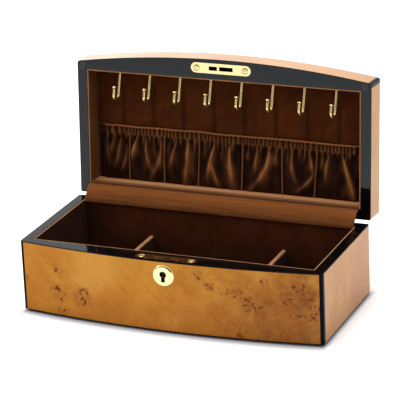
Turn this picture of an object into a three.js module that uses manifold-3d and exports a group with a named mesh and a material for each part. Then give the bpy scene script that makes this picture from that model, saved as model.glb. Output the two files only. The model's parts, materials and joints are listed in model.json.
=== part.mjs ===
// A veneered jewelry box with a bowed front, shown with its lid open on two stop hinges.
// Millimetres, +Z up. The box is drawn round the middle of its straight-sided plan, with the floor at
// z = 0, and the whole group is then moved so that its origin is at the bottom centre of the open box.

import * as THREE from 'three';
import { mergeVertices } from 'three/addons/utils/BufferGeometryUtils.js';
import Module from 'manifold-3d';

const wasm = await Module();
wasm.setup();

// Box body
const boxLength = 300;
const sideDepth = 132;
const frontBow = 11.5;
const cornerRadius = 1.6;
const footHeight = 2.2;
const baseHeight = 68.8;
const sideWall = 10;
const backWall = 10;
const frontWallAtEnds = 7.5;
const floorThickness = 5;
const floorRabbet = 4;
const seam = 0.1;
const overrun = 1;
const weldTolerance = 0.0001;

// Veneer panels, inlaid flush in the black lacquered frame
const veneer = 0.8;
const postWidth = 2.6;
const rearEdgeLine = 0.7;
const rimEdgeLine = 1;
const bottomEdgeLine = 1.5;

// Feet
const footRadius = 6;
const footBottomRadius = 5.2;
const footChamfer = 0.7;
const footInset = 7.2;

// Velvet lining and dividers
const liner = 1.2;
const linerBelowRim = 0.8;
const floorPad = 2.4;
const dividerThickness = 4;
const dividerHeight = 31;
const endCompartmentLength = 68.2;
const dividerEdgeRadius = 1.4;
const dividerClearance = 0.3;

// Lid and its hinge line
const rimGap = 1;
const lidHeight = 26.6;
const lidPanel = 3;
const lidEdgeRadius = 0.7;
const openAngle = 94;
const hingeSetback = 2.3;
const hingeBelowRim = 0.5;

// Butt hinges
const hingeFromEnd = 55;
const hingeLength = 32;
const knuckleCount = 5;
const knuckleGap = 0.2;
const barrelRadius = 1.95;
const pinRadius = 1;
const pinClearance = 0.12;
const leafThickness = 1.2;
const leafWidth = 7;
const pinHeadRadius = 1.5;
const pinHeadLength = 0.9;
const pinHeadGap = 0.2;

// Fabric gusset over the hinge line
const gussetEndInset = 1.4;
const gussetThickness = 0.8;
const gussetTuck = 3;
const gussetBulge = 5.4;
const gussetClearance = 0.5;

// Lid lining and gathered pocket
const lidPad = 1;
const pocketSideInset = 2;
const pocketMouth = 66.5;
const pocketBottomGap = 0.6;
const pocketBand = 7;
const pocketBandDepth = 3.4;
const pocketDepth = 8.4;
const pocketCount = 7;
const pocketPleatDepth = 2.6;
const pocketPleatWidth = 2.2;
const pocketRipple = 1.1;
const pocketRipplesPerPocket = 3;
const pocketClearance = 0.3;
const pocketSwellShare = 0.45;
const pocketTaperShare = 0.35;
const pocketEdgeShare = 0.25;
const pocketRippleFadeShare = 0.6;
const pocketFoldStartShare = 0.3;
const pocketFoldRunShare = 0.33;
const pocketRowShares = [0, 0.08, 0.2, 0.4, 0.62, 0.82, 1];
const pocketColumns = 108;

// Necklace hooks
const hookCount = 8;
const hookFromSideLiner = 27.4;
const hookFromRim = 15.5;
const hookWireRadius = 1.15;
const hookStem = 24.4;
const hookBend = 4.25;
const hookTip = 6;
const hookBallRadius = 1.9;
const hookCollarRadius = 2.1;
const hookCollarHeight = 1.2;
const hookLean = 9.8;
const hookTwist = 9;
const hookClearance = 0.45;
const hookShankRadius = 0.8;
const hookShankLength = 7;
const hookShankClearance = 0.12;

// Rim bumpers
const bumperRadius = 3.5;
const bumperHeight = 0.8;
const bumperFromSide = 6;
const bumperFromFrontCorner = 4.5;

// Box lock
const plateLength = 61;
const plateWidth = 10;
const plateThickness = 1.6;
const plateSetback = 8.75;
const plateScrewFromCentre = 24.7;
const screwHeadRadius = 2.7;
const screwShankRadius = 1.3;
const screwLength = 7;
const screwClearance = 0.15;
const screwRimShare = 0.125;
const screwSlotWidthShare = 0.33;
const screwSlotDepthShare = 0.2;
const screwSlotTurn = 25;
const shortSlotFromCentre = 3.8;
const shortSlotLength = 8;
const slotBridgeWidth = 2.6;
const longSlotLength = 13;
const slotWidth = 3.2;
const boltThickness = 2.4;
const boltThrow = 3;
const boltEndClearance = 0.5;
const boltNoseReach = 3.5;
const boltNoseHeight = 2.2;
const boltRunning = 0.3;
const boltFrame = 2.4;
const boltSideMargin = 2.5;
const caseWall = 0.8;
const caseDepth = 8;
const carrierThickness = 1.2;
const carrierLedge = 1;
const keyPinRadius = 1.2;
const keyPinLength = 6;

// Keyhole and escutcheon
const keyholeBelowRim = 12.9;
const keyholeRadius = 3;
const keyholeDrop = 7.3;
const keyholeSlotTop = 1.5;
const keyholeSlotBottom = 1.9;
const keyholeWallMargin = 0.6;
const keyholeCaseMargin = 0.3;
const escutcheonRadius = 10.25;
const escutcheonBelowRim = 14;
const escutcheonProud = 1;
const escutcheonBevel = 1.1;
const escutcheonDish = 0.5;

// Heights and planes that the sizes above give
const halfLength = boxLength / 2;
const halfDepth = sideDepth / 2;
const rimHeight = footHeight + baseHeight;
const bowRadius = (halfLength ** 2 + frontBow ** 2) / (2 * frontBow);
const bowCentreY = bowRadius - halfDepth - frontBow;
const frontY = -halfDepth - frontBow;
const innerRight = halfLength - sideWall;
const innerBack = halfDepth - backWall;
const innerFront = -halfDepth + frontWallAtEnds;
const linerRight = innerRight - seam - liner;
const dividerFromCentre = linerRight - endCompartmentLength - dividerThickness / 2;
const hingeFromCentre = halfLength - hingeFromEnd;
const hookSpacing = 2 * (linerRight - hookFromSideLiner) / (hookCount - 1);
const lidRim = rimHeight + rimGap;
const lidTop = lidRim + lidHeight;
const lidPanelUnderside = lidTop - veneer - seam - lidPanel;
const hingeY = halfDepth + hingeSetback;
const hingeZ = rimHeight - hingeBelowRim;
const padTop = footHeight + floorThickness + seam + floorPad;
const lidPadFace = lidPanelUnderside - seam - lidPad;
const lockY = frontY + plateSetback;
const keyholeZ = rimHeight - keyholeBelowRim;
const escutcheonZ = rimHeight - escutcheonBelowRim;
const plateUnderside = rimHeight - plateThickness;
const bowSegments = 32;
const cornerSegments = 5;
const roundSegments = 20;

// Finishes
const finish = (color, roughness, metalness) =>
  new THREE.MeshStandardMaterial({ color, roughness, metalness });
const blackLacquer = finish(0x0b0b0d, 0.12, 0);
const burl = finish(0xb8772c, 0.22, 0);
const velvet = finish(0x3c1a0c, 0.95, 0);
const brass = finish(0xd9b45a, 0.25, 1);
const steel = finish(0x9a9a9e, 0.35, 1);
const rubber = finish(0x17161a, 0.7, 0);
const darkBoard = finish(0x1c1512, 0.8, 0);

// Geometry to solid and back
function solidOf(geometry) {
  const bare = geometry.clone();
  bare.deleteAttribute('normal');
  bare.deleteAttribute('uv');
  const merged = mergeVertices(bare, weldTolerance);
  return new wasm.Manifold(new wasm.Mesh({
    numProp: 3,
    vertProperties: new Float32Array(merged.attributes.position.array),
    triVerts: new Uint32Array(merged.index.array),
  }));
}

function meshOf(name, shape, material) {
  let geometry = shape;
  if (shape instanceof wasm.Manifold) {
    const mesh = shape.getMesh();
    geometry = new THREE.BufferGeometry();
    geometry.setAttribute('position', new THREE.BufferAttribute(mesh.vertProperties, 3));
    geometry.setIndex(new THREE.BufferAttribute(mesh.triVerts, 1));
  }
  geometry.computeVertexNormals();
  const piece = new THREE.Mesh(geometry, material);
  piece.name = name;
  return piece;
}

function block(x0, x1, y0, y1, z0, z1) {
  const geometry = new THREE.BoxGeometry(x1 - x0, y1 - y0, z1 - z0);
  return solidOf(geometry.translate((x0 + x1) / 2, (y0 + y1) / 2, (z0 + z1) / 2));
}

function prism(points, z0, z1) {
  const shape = new THREE.Shape(points.map(([x, y]) => new THREE.Vector2(x, y)));
  const geometry = new THREE.ExtrudeGeometry(shape, { depth: z1 - z0, bevelEnabled: false });
  return solidOf(geometry.translate(0, 0, z0));
}

// A profile drawn in (y, z) and run along x
function prismAlongX(points, x0, x1) {
  const shape = new THREE.Shape(points.map(([y, z]) => new THREE.Vector2(y, z)));
  const geometry = new THREE.ExtrudeGeometry(shape, { depth: x1 - x0, bevelEnabled: false });
  const turn = new THREE.Matrix4().makeBasis(
    new THREE.Vector3(0, 1, 0), new THREE.Vector3(0, 0, 1), new THREE.Vector3(1, 0, 0));
  return solidOf(geometry.applyMatrix4(turn).translate(x0, 0, 0));
}

// A profile drawn in (x, z) and run along y, from y0 back to y1
function prismAlongY(points, y0, y1) {
  const shape = new THREE.Shape(points.map(([x, z]) => new THREE.Vector2(x, z)));
  const geometry = new THREE.ExtrudeGeometry(shape, { depth: y1 - y0, bevelEnabled: false });
  return solidOf(geometry.rotateX(Math.PI / 2).translate(0, y1, 0));
}

function arcPoints(cx, cy, radius, from, to, count) {
  return Array.from({ length: count + 1 }, (_, i) => {
    const angle = from + (to - from) * i / count;
    return [cx + radius * Math.cos(angle), cy + radius * Math.sin(angle)];
  });
}

function disc(radius, z0, z1, segments = roundSegments) {
  return prism(arcPoints(0, 0, radius, 0, 2 * Math.PI, segments).slice(0, -1), z0, z1);
}

function rodAlongX(radius, x0, x1, segments = 16) {
  return prismAlongX(arcPoints(0, 0, radius, 0, 2 * Math.PI, segments).slice(0, -1), x0, x1);
}

// A profile drawn in (radius, z) and turned about z
function lathe(profile, segments = roundSegments) {
  const points = profile.map(([r, z]) => new THREE.Vector2(r, z));
  if (THREE.ShapeUtils.isClockWise(points)) points.reverse();
  return new THREE.LatheGeometry(points, segments).rotateX(Math.PI / 2);
}

// The bowed plan of the box, drawn in by an inset all round
function bowY(x, inset = 0) {
  return bowCentreY - Math.sqrt((bowRadius - inset) ** 2 - x ** 2);
}

function planPoints(inset) {
  const x = halfLength - inset;
  const back = halfDepth - inset;
  const r = Math.max(Math.min(cornerRadius - inset, cornerRadius), seam);
  const front = bowY(x - r, inset);
  const slope = Math.atan2(x, bowRadius - inset);
  const right = arcPoints(x - r, back - r, r, Math.PI / 2, 0, cornerSegments)
    .concat(arcPoints(x - r, front + r / Math.cos(slope), r, 0, slope - Math.PI / 2, cornerSegments));
  const bow = [];
  for (let i = 1; i < bowSegments; i += 1) {
    const bx = (x - 2 * r) * (1 - 2 * i / bowSegments);
    bow.push([bx, bowY(bx, inset)]);
  }
  const left = right.map(([px, py]) => [-px, py]).reverse();
  return right.concat(bow, left).reverse();
}

const plan = (inset, z0, z1) => prism(planPoints(inset), z0, z1);
const interior = (inset, z0, z1) =>
  block(-innerRight + inset, innerRight - inset, innerFront + inset, innerBack - inset, z0, z1);

// Four walls cut from one ring by mitres from the inner to the outer corners
function mitreWedges(z0, z1) {
  const reachShare = 5;
  const outX = innerRight + reachShare * sideWall;
  const outFront = innerFront - reachShare * frontWallAtEnds;
  const outBack = innerBack + reachShare * backWall;
  const shift = seam / 2;
  const front = prism([[-outX, outFront], [outX, outFront], [innerRight, innerFront],
    [-innerRight, innerFront]], z0, z1).translate(0, -shift, 0);
  const back = prism([[-outX, outBack], [-innerRight, innerBack], [innerRight, innerBack],
    [outX, outBack]], z0, z1).translate(0, shift, 0);
  const right = prism([[outX, outFront], [outX, outBack], [innerRight, innerBack],
    [innerRight, innerFront]], z0, z1).translate(shift, 0, 0);
  const left = prism([[-innerRight, innerBack], [-outX, outBack], [-outX, outFront],
    [-innerRight, innerFront]], z0, z1).translate(-shift, 0, 0);
  return { front, back, left, right };
}

function wallRing(z0, z1) {
  return plan(0, z0, z1).subtract(interior(0, z0 - overrun, z1 + overrun));
}

// The veneer faces: a skin of the plan between two heights, kept to one side. Grown by the glue line,
// the same shapes are the recesses in the core.
function veneerSkins(z0, z1, grow) {
  const skin = plan(0, z0 - grow, z1 + grow)
    .subtract(plan(veneer + grow, z0 - grow - overrun, z1 + grow + overrun));
  const frontX = halfLength - postWidth + grow;
  const sideFrontY = -halfDepth + postWidth - grow;
  const sideBackY = halfDepth - rearEdgeLine + grow;
  const backX = halfLength - rearEdgeLine + grow;
  const low = z0 - grow - overrun;
  const high = z1 + grow + overrun;
  const outside = halfLength + overrun;
  const past = halfDepth + frontBow + overrun;
  const sideIn = halfLength - veneer - grow;
  return {
    front: skin.intersect(block(-frontX, frontX, -past, -halfDepth + veneer + grow, low, high)),
    back: skin.intersect(block(-backX + veneer + seam, backX - veneer - seam,
      halfDepth - veneer - grow, past, low, high)),
    left: skin.intersect(block(-outside, -sideIn, sideFrontY, sideBackY, low, high)),
    right: skin.intersect(block(sideIn, outside, sideFrontY, sideBackY, low, high)),
  };
}

// Keyhole: a round top and a slot that flares downwards, drawn in (x, z)
function keyhole(margin, y0, y1) {
  const r = keyholeRadius + margin;
  const start = -Math.asin(Math.sqrt(1 - (keyholeSlotTop / keyholeRadius) ** 2));
  const round = arcPoints(0, keyholeZ, r, start, Math.PI - start, 20);
  const bottom = keyholeZ - keyholeDrop - margin;
  const halfSlot = keyholeSlotBottom + margin;
  const outline = round.concat([[-halfSlot, bottom], [halfSlot, bottom]]);
  return prismAlongY(outline, y0, y1);
}

// Lock plates: round-ended, with two slots and two countersunk screw holes
const slots = [
  [-shortSlotFromCentre - shortSlotLength, -shortSlotFromCentre],
  [-shortSlotFromCentre + slotBridgeWidth, -shortSlotFromCentre + slotBridgeWidth + longSlotLength],
];

function plateOutline(grow) {
  const r = plateWidth / 2 + grow;
  const cx = plateLength / 2 - plateWidth / 2;
  return arcPoints(cx, lockY, r, -Math.PI / 2, Math.PI / 2, 12)
    .concat(arcPoints(-cx, lockY, r, Math.PI / 2, 1.5 * Math.PI, 12));
}

function screwBody(grow, length, above = 0) {
  return solidOf(lathe([[0, above], [screwHeadRadius + grow, above],
    [screwHeadRadius + grow, -screwHeadRadius * screwRimShare],
    [screwShankRadius + grow, -plateThickness],
    [screwShankRadius + grow, -length], [0, -length]], 16));
}

function plateWithSlots(z0, z1, faceUp) {
  let plate = prism(plateOutline(0), z0, z1);
  for (const [x0, x1] of slots) {
    plate = plate.subtract(block(x0, x1, lockY - slotWidth / 2, lockY + slotWidth / 2,
      z0 - overrun, z1 + overrun));
  }
  for (const side of [-1, 1]) {
    const hole = screwBody(screwClearance, plateThickness + overrun, overrun);
    const turned = faceUp ? hole : hole.rotate([180, 0, 0]);
    plate = plate.subtract(turned.translate(side * plateScrewFromCentre, lockY, faceUp ? z1 : z0));
  }
  return plate;
}

function lockScrews(faceZ, faceUp) {
  return [-1, 1].map((side) => {
    let screw = screwBody(0, screwLength);
    const halfSlot = screwHeadRadius * screwSlotWidthShare / 2;
    const slot = block(-screwHeadRadius - overrun, screwHeadRadius + overrun,
      -halfSlot, halfSlot, -screwHeadRadius * screwSlotDepthShare, overrun);
    screw = screw.subtract(slot.rotate([0, 0, side * screwSlotTurn]));
    if (!faceUp) screw = screw.rotate([180, 0, 0]);
    return screw.translate(side * plateScrewFromCentre, lockY, faceZ);
  });
}

function screwPilots(faceZ, faceUp) {
  const length = screwLength + boltRunning;
  return [-1, 1].map((side) => {
    const pilot = disc(screwShankRadius + screwClearance, -length, 0, 16);
    const turned = faceUp ? pilot : pilot.rotate([180, 0, 0]);
    return turned.translate(side * plateScrewFromCentre, lockY, faceZ);
  });
}

// Lock works: a case under the plate holds a carrier that lifts and a hook bolt that slides across it
const strikeFace = lidRim + plateThickness;
const hookTop = plateUnderside - boltRunning;
const boltLift = strikeFace + boltEndClearance + boltNoseHeight - hookTop;
const boltBodyTop = plateUnderside - boltLift - boltRunning;
const pinSlotTop = keyholeZ + keyPinRadius + boltRunning;
const pinSlotBottom = keyholeZ - boltLift - keyPinRadius - boltRunning;
const boltBodyBottom = pinSlotBottom - boltFrame;
const boltX = [slots[0][0] + boltEndClearance, slots[1][1] - boltEndClearance];
const caseInner = {
  x: Math.max(-boltX[0], boltX[1] + boltThrow) + boltSideMargin,
  bottom: boltBodyBottom - boltRunning - carrierLedge - boltRunning,
  front: lockY - caseDepth / 2 + caseWall,
  back: lockY + caseDepth / 2 - caseWall,
};
const caseOuter = {
  x: caseInner.x + caseWall,
  bottom: caseInner.bottom - caseWall,
  top: plateUnderside - seam,
};
const boltBack = lockY + boltThickness / 2;
const carrierFront = boltBack + boltRunning;

function lockCase() {
  const y0 = lockY - caseDepth / 2;
  const y1 = lockY + caseDepth / 2;
  return block(-caseOuter.x, caseOuter.x, y0, y1, caseOuter.bottom, caseOuter.top)
    .subtract(block(-caseInner.x, caseInner.x, caseInner.front, caseInner.back,
      caseInner.bottom, caseOuter.top + overrun))
    .subtract(keyhole(keyholeCaseMargin, y0 - overrun, caseInner.front + boltRunning));
}

function boltHook(x0, neck) {
  const nose = boltNoseReach;
  const outline = [[x0, boltBodyTop - overrun], [x0 + neck, boltBodyTop - overrun],
    [x0 + neck, hookTop - boltNoseHeight], [x0 + neck + nose, hookTop - boltNoseHeight],
    [x0 + neck + nose, hookTop - boltNoseHeight / 2], [x0 + neck + nose / 2, hookTop], [x0, hookTop]];
  return prismAlongY(outline, lockY - boltThickness / 2, boltBack);
}

function hookBolt() {
  const y0 = lockY - boltThickness / 2;
  const longNeck = longSlotLength - 2 * boltEndClearance - boltNoseReach - boltThrow - boltEndClearance;
  const shortNeck = shortSlotLength - 2 * boltEndClearance - boltNoseReach;
  const longX = boltX[1] - boltNoseReach - longNeck;
  const pinSlotX = keyPinRadius + boltRunning;
  return block(boltX[0], boltX[1], y0, boltBack, boltBodyBottom, boltBodyTop)
    .add(boltHook(boltX[0], shortNeck))
    .add(boltHook(longX, longNeck))
    .subtract(block(-pinSlotX - boltThrow, pinSlotX, y0 - overrun, boltBack + overrun,
      pinSlotBottom, pinSlotTop));
}

function boltCarrier() {
  const ledgeTop = boltBodyBottom - boltRunning;
  const x = caseInner.x - boltRunning;
  const pinSlotX = keyPinRadius + boltRunning;
  const back = carrierFront + carrierThickness;
  return block(-x, x, carrierFront, back, ledgeTop - carrierLedge, boltBodyTop)
    .add(block(-x, x, caseInner.front + boltRunning, back, ledgeTop - carrierLedge, ledgeTop))
    .subtract(block(-pinSlotX, pinSlotX, carrierFront - overrun, back + overrun,
      pinSlotBottom, pinSlotTop));
}

function keyPin() {
  const rod = arcPoints(0, keyholeZ, keyPinRadius, 0, 2 * Math.PI, 16).slice(0, -1);
  return prismAlongY(rod, caseInner.back - seam - keyPinLength, caseInner.back - seam);
}

function escutcheon() {
  const r = escutcheonRadius;
  const back = -veneer + seam;
  const blank = solidOf(lathe([[0, back], [r, back], [r, escutcheonProud - escutcheonBevel / 2],
    [r - escutcheonBevel / 2, escutcheonProud], [r - escutcheonBevel, escutcheonProud],
    [r - 2 * escutcheonBevel, escutcheonProud - escutcheonDish],
    [0, escutcheonProud - escutcheonDish]], 40));
  return blank.rotate([90, 0, 0]).translate(0, frontY, escutcheonZ)
    .subtract(keyhole(0, frontY - escutcheonProud - overrun, frontY + veneer + overrun));
}

function escutcheonSeat(grow) {
  const outline = arcPoints(0, escutcheonZ, escutcheonRadius + grow, 0, 2 * Math.PI, 40).slice(0, -1);
  return prismAlongY(outline, frontY - escutcheonProud - overrun, frontY + veneer + seam);
}

// Hinges: each leaf is a plate let into the rim, with knuckles that take turns on one pin
const knuckleLength = hingeLength / knuckleCount;

function knuckles(isLid) {
  const tubes = [];
  for (let i = 0; i < knuckleCount; i += 1) {
    if ((i % 2 === 1) === isLid) {
      const x0 = -hingeLength / 2 + i * knuckleLength + knuckleGap / 2;
      const x1 = x0 + knuckleLength - knuckleGap;
      tubes.push({ x0, x1 });
    }
  }
  return tubes;
}

function hingeLeaf(isLid) {
  const z0 = isLid ? lidRim - hingeZ : rimHeight - leafThickness - hingeZ;
  const z1 = z0 + leafThickness;
  const frontEdge = -hingeSetback - leafWidth;
  let leaf = block(-hingeLength / 2, hingeLength / 2, frontEdge, -hingeSetback + seam, z0, z1);
  for (const { x0, x1 } of knuckles(isLid)) {
    leaf = leaf.add(rodAlongX(barrelRadius, x0, x1))
      .add(block(x0, x1, -hingeSetback - overrun, -pinRadius - pinClearance, z0, z1));
  }
  const bore = rodAlongX(pinRadius + pinClearance, -hingeLength, hingeLength);
  return leaf.subtract(bore).translate(0, hingeY, hingeZ);
}

function hingePin() {
  const end = hingeLength / 2 + pinHeadGap;
  return rodAlongX(pinRadius, -end - pinHeadLength / 2, end + pinHeadLength / 2)
    .add(rodAlongX(pinHeadRadius, -end - pinHeadLength, -end))
    .add(rodAlongX(pinHeadRadius, end, end + pinHeadLength))
    .translate(0, hingeY, hingeZ);
}

function leafMortises(z0, z1) {
  return [-1, 1].map((side) => block(
    side * hingeFromCentre - hingeLength / 2 - seam, side * hingeFromCentre + hingeLength / 2 + seam,
    halfDepth - leafWidth - seam, halfDepth + overrun, z0, z1));
}
const baseMortises = () => leafMortises(rimHeight - leafThickness - seam, rimHeight + overrun);
const lidMortises = () => leafMortises(lidRim - overrun, lidRim + leafThickness + seam);
const cutAll = (solid, cutters) => cutters.reduce((rest, cutter) => rest.subtract(cutter), solid);

// Base
function baseWalls() {
  const z0 = footHeight;
  const veneerLow = z0 + bottomEdgeLine;
  const veneerHigh = rimHeight - rimEdgeLine;
  const recesses = veneerSkins(veneerLow, veneerHigh, seam);
  const wedges = mitreWedges(z0 - overrun, rimHeight + overrun);
  let ring = wallRing(z0, rimHeight);
  ring = ring.subtract(interior(-floorRabbet, z0 - overrun, z0 + floorThickness + seam));
  ring = cutAll(ring, Object.values(recesses).concat(baseMortises()));
  const front = ring.intersect(wedges.front)
    .subtract(prism(plateOutline(seam), plateUnderside - seam, rimHeight + overrun))
    .subtract(block(-caseOuter.x - seam, caseOuter.x + seam, lockY - caseDepth / 2 - seam,
      lockY + caseDepth / 2 + seam, caseOuter.bottom - seam, rimHeight))
    .subtract(keyhole(keyholeWallMargin, frontY - overrun, lockY));
  return {
    front: cutAll(front, screwPilots(rimHeight, true)),
    back: ring.intersect(wedges.back),
    left: ring.intersect(wedges.left),
    right: ring.intersect(wedges.right),
  };
}

function baseVeneers() {
  const skins = veneerSkins(footHeight + bottomEdgeLine, rimHeight - rimEdgeLine, 0);
  skins.front = skins.front.subtract(escutcheonSeat(seam));
  skins.back = cutAll(skins.back, baseMortises());
  return skins;
}

function wallLiner(z0, z1) {
  return interior(seam, z0, z1).subtract(interior(seam + liner, z0 - overrun, z1 + overrun));
}

const dividerFront = innerFront + seam + liner + dividerClearance;
const dividerBack = innerBack - seam - liner - dividerClearance;

function divider() {
  const half = dividerThickness / 2;
  const z0 = padTop + seam;
  const z1 = z0 + dividerHeight;
  const r = dividerEdgeRadius;
  const outline = [[-half, z0], [half, z0]]
    .concat(arcPoints(half - r, z1 - r, r, 0, Math.PI / 2, 4))
    .concat(arcPoints(-half + r, z1 - r, r, Math.PI / 2, Math.PI, 4));
  return prismAlongY(outline, dividerFront, dividerBack);
}

function foot() {
  const top = footHeight - seam;
  return lathe([[0, 0], [footBottomRadius, 0], [footRadius, footChamfer], [footRadius, top], [0, top]]);
}

// Lid, drawn closed over the base
function lidWalls() {
  const recesses = veneerSkins(lidRim + rimEdgeLine, lidPanelUnderside + lidPanel, seam);
  const wedges = mitreWedges(lidRim - overrun, lidTop);
  let ring = wallRing(lidRim, lidPanelUnderside - seam);
  ring = cutAll(ring, Object.values(recesses).concat(lidMortises()));
  const boltRoom = boltLift - (strikeFace - plateUnderside) + 2 * boltRunning;
  const front = ring.intersect(wedges.front)
    .subtract(prism(plateOutline(seam), lidRim - overrun, strikeFace + seam))
    .subtract(block(slots[0][0], slots[1][1] + boltNoseReach, lockY - slotWidth / 2,
      lockY + slotWidth / 2, lidRim, strikeFace + boltRoom));
  return {
    front: cutAll(front, screwPilots(lidRim, false).concat(hookPilots())),
    back: ring.intersect(wedges.back),
    left: ring.intersect(wedges.left),
    right: ring.intersect(wedges.right),
  };
}

function lidVeneers() {
  const skins = veneerSkins(lidRim + rimEdgeLine, lidPanelUnderside + lidPanel, 0);
  skins.back = cutAll(skins.back, lidMortises());
  return skins;
}

function lidTopPanel() {
  const panel = plan(0, lidPanelUnderside, lidPanelUnderside + lidPanel);
  const recesses = veneerSkins(lidRim + rimEdgeLine, lidPanelUnderside + lidPanel + overrun, seam);
  return cutAll(panel, Object.values(recesses));
}

// The top veneer laps all edges and its own edge is rounded over
function lidTopVeneer() {
  const shape = new THREE.Shape(planPoints(0).map(([x, y]) => new THREE.Vector2(x, y)));
  const geometry = new THREE.ExtrudeGeometry(shape, {
    depth: veneer,
    bevelThickness: lidEdgeRadius,
    bevelSize: lidEdgeRadius,
    bevelOffset: -lidEdgeRadius,
    bevelSegments: 2,
  });
  return solidOf(geometry.translate(0, 0, lidTop - lidEdgeRadius - veneer))
    .intersect(plan(-overrun, lidTop - veneer, lidTop + overrun));
}

// Pocket: fabric gathered on an elastic band across the lid's panel. Its front swells below the band,
// drawn in to a sharp pleat between pockets, and each pocket has a few soft ripples.
function necklacePocket() {
  const half = linerRight - pocketSideInset;
  const back = lidPadFace - pocketClearance;
  const bottomY = innerBack - seam - liner - pocketBottomGap;
  const mouthY = halfDepth - pocketMouth;
  const bandY = mouthY + pocketBand;
  const height = bottomY - bandY;
  const rows = [mouthY, mouthY + pocketBand / 2]
    .concat(pocketRowShares.map((share) => bandY + height * share));
  const columns = pocketColumns;
  const span = 2 * half / pocketCount;

  function bandDepthAt(x, y) {
    const crown = y < mouthY + seam ? pocketBandDepth / 2 : pocketBandDepth;
    const turns = columns / 4 * (x + half) / (2 * half);
    return crown + pocketRipple / 4 * Math.cos(2 * Math.PI * turns);
  }

  function depthAt(x, y) {
    if (y < bandY - seam) return bandDepthAt(x, y);
    const down = (y - bandY) / height;
    const along = (x + half) / span;
    const line = Math.round(along);
    const fromLine = Math.abs(along - line) * span;
    const isPleat = line > 0 && line < pocketCount;
    const edge = Math.min(1, (half - Math.abs(x)) / (span * pocketEdgeShare));
    const swell = Math.sin(Math.PI / 2 * Math.min(1, down / pocketSwellShare))
      * (1 - pocketTaperShare * down ** 3) * Math.sqrt(edge);
    const ripple = pocketRipple * Math.cos(2 * Math.PI * pocketRipplesPerPocket * along)
      * (1 - pocketRippleFadeShare * down) * edge;
    const pleat = isPleat ? pocketPleatDepth * Math.max(0, 1 - fromLine / pocketPleatWidth) : 0;
    const folded = Math.min(1, pocketFoldStartShare + down / pocketFoldRunShare);
    return pocketBandDepth + (pocketDepth - pocketBandDepth - pocketPleatDepth) * swell
      + (ripple + pleat) * folded;
  }

  const positions = [];
  const index = [];
  const width = columns + 1;
  for (const y of rows) {
    for (let i = 0; i <= columns; i += 1) {
      const x = -half + 2 * half * i / columns;
      positions.push(x, y, back - depthAt(x, y));
    }
  }
  const frontCount = rows.length * width;
  const rim = [];
  for (let i = 0; i <= columns; i += 1) rim.push(i);
  for (let j = 1; j < rows.length; j += 1) rim.push(j * width + columns);
  for (let i = columns - 1; i >= 0; i -= 1) rim.push((rows.length - 1) * width + i);
  for (let j = rows.length - 2; j > 0; j -= 1) rim.push(j * width);
  for (const k of rim) positions.push(positions[3 * k], positions[3 * k + 1], back);
  positions.push(0, (mouthY + bottomY) / 2, back);
  const middle = frontCount + rim.length;
  for (let j = 0; j + 1 < rows.length; j += 1) {
    for (let i = 0; i < columns; i += 1) {
      const a = j * width + i;
      index.push(a, a + width, a + 1, a + 1, a + width, a + width + 1);
    }
  }
  for (let k = 0; k < rim.length; k += 1) {
    const next = (k + 1) % rim.length;
    index.push(rim[k], rim[next], frontCount + next, rim[k], frontCount + next, frontCount + k);
    index.push(middle, frontCount + k, frontCount + next);
  }
  const geometry = new THREE.BufferGeometry();
  geometry.setAttribute('position', new THREE.Float32BufferAttribute(positions, 3));
  geometry.setIndex(index);
  return geometry;
}

// A hook hangs down -z from its collar, turns through half a circle and its tip rises in +x
class HookBend extends THREE.Curve {
  getPoint(t, target = new THREE.Vector3()) {
    const angle = Math.PI * t;
    return target.set(hookBend * (1 - Math.cos(angle)), 0, -hookStem - hookBend * Math.sin(angle));
  }
}

function hook() {
  const sides = 10;
  const section = arcPoints(0, 0, hookWireRadius, 0, 2 * Math.PI, sides).slice(0, -1);
  const shape = new THREE.Shape(section.map(([x, y]) => new THREE.Vector2(x, y)));
  const bend = solidOf(new THREE.ExtrudeGeometry(shape, { extrudePath: new HookBend(), steps: 9 }));
  const stem = disc(hookWireRadius, -hookStem, 0, sides);
  const tip = disc(hookWireRadius, -hookStem, -hookStem + hookTip, sides).translate(2 * hookBend, 0, 0);
  const ball = solidOf(new THREE.SphereGeometry(hookBallRadius, 10, 7))
    .translate(2 * hookBend, 0, -hookStem + hookTip + hookBallRadius / 2);
  const collar = solidOf(lathe([[0, 0], [hookCollarRadius, 0], [hookCollarRadius, -hookCollarHeight / 2],
    [hookWireRadius, -hookCollarHeight], [0, -hookCollarHeight]], 12));
  const shank = disc(hookShankRadius, -hookCollarHeight, hookShankLength, sides);
  return bend.add(stem).add(tip).add(ball).add(collar).add(shank);
}

// Each hook is screwed through the lining into the lid's front wall, leaning towards the lid's rim
function hookPlace(i) {
  const x = (i - (hookCount - 1) / 2) * hookSpacing;
  const y = innerFront + seam + liner + hookClearance;
  const twist = -Math.PI / 2 - THREE.MathUtils.degToRad(hookTwist);
  return new THREE.Matrix4().makeTranslation(x, y, lidRim + hookFromRim)
    .multiply(new THREE.Matrix4().makeRotationX(Math.PI / 2))
    .multiply(new THREE.Matrix4().makeRotationZ(twist))
    .multiply(new THREE.Matrix4().makeRotationY(-THREE.MathUtils.degToRad(hookLean)));
}

function hookPilots() {
  const length = hookShankLength + hookShankClearance;
  return Array.from({ length: hookCount }, (_, i) =>
    disc(hookShankRadius + hookShankClearance, -hookClearance, length, 8).transform(hookPlace(i).elements));
}

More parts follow.
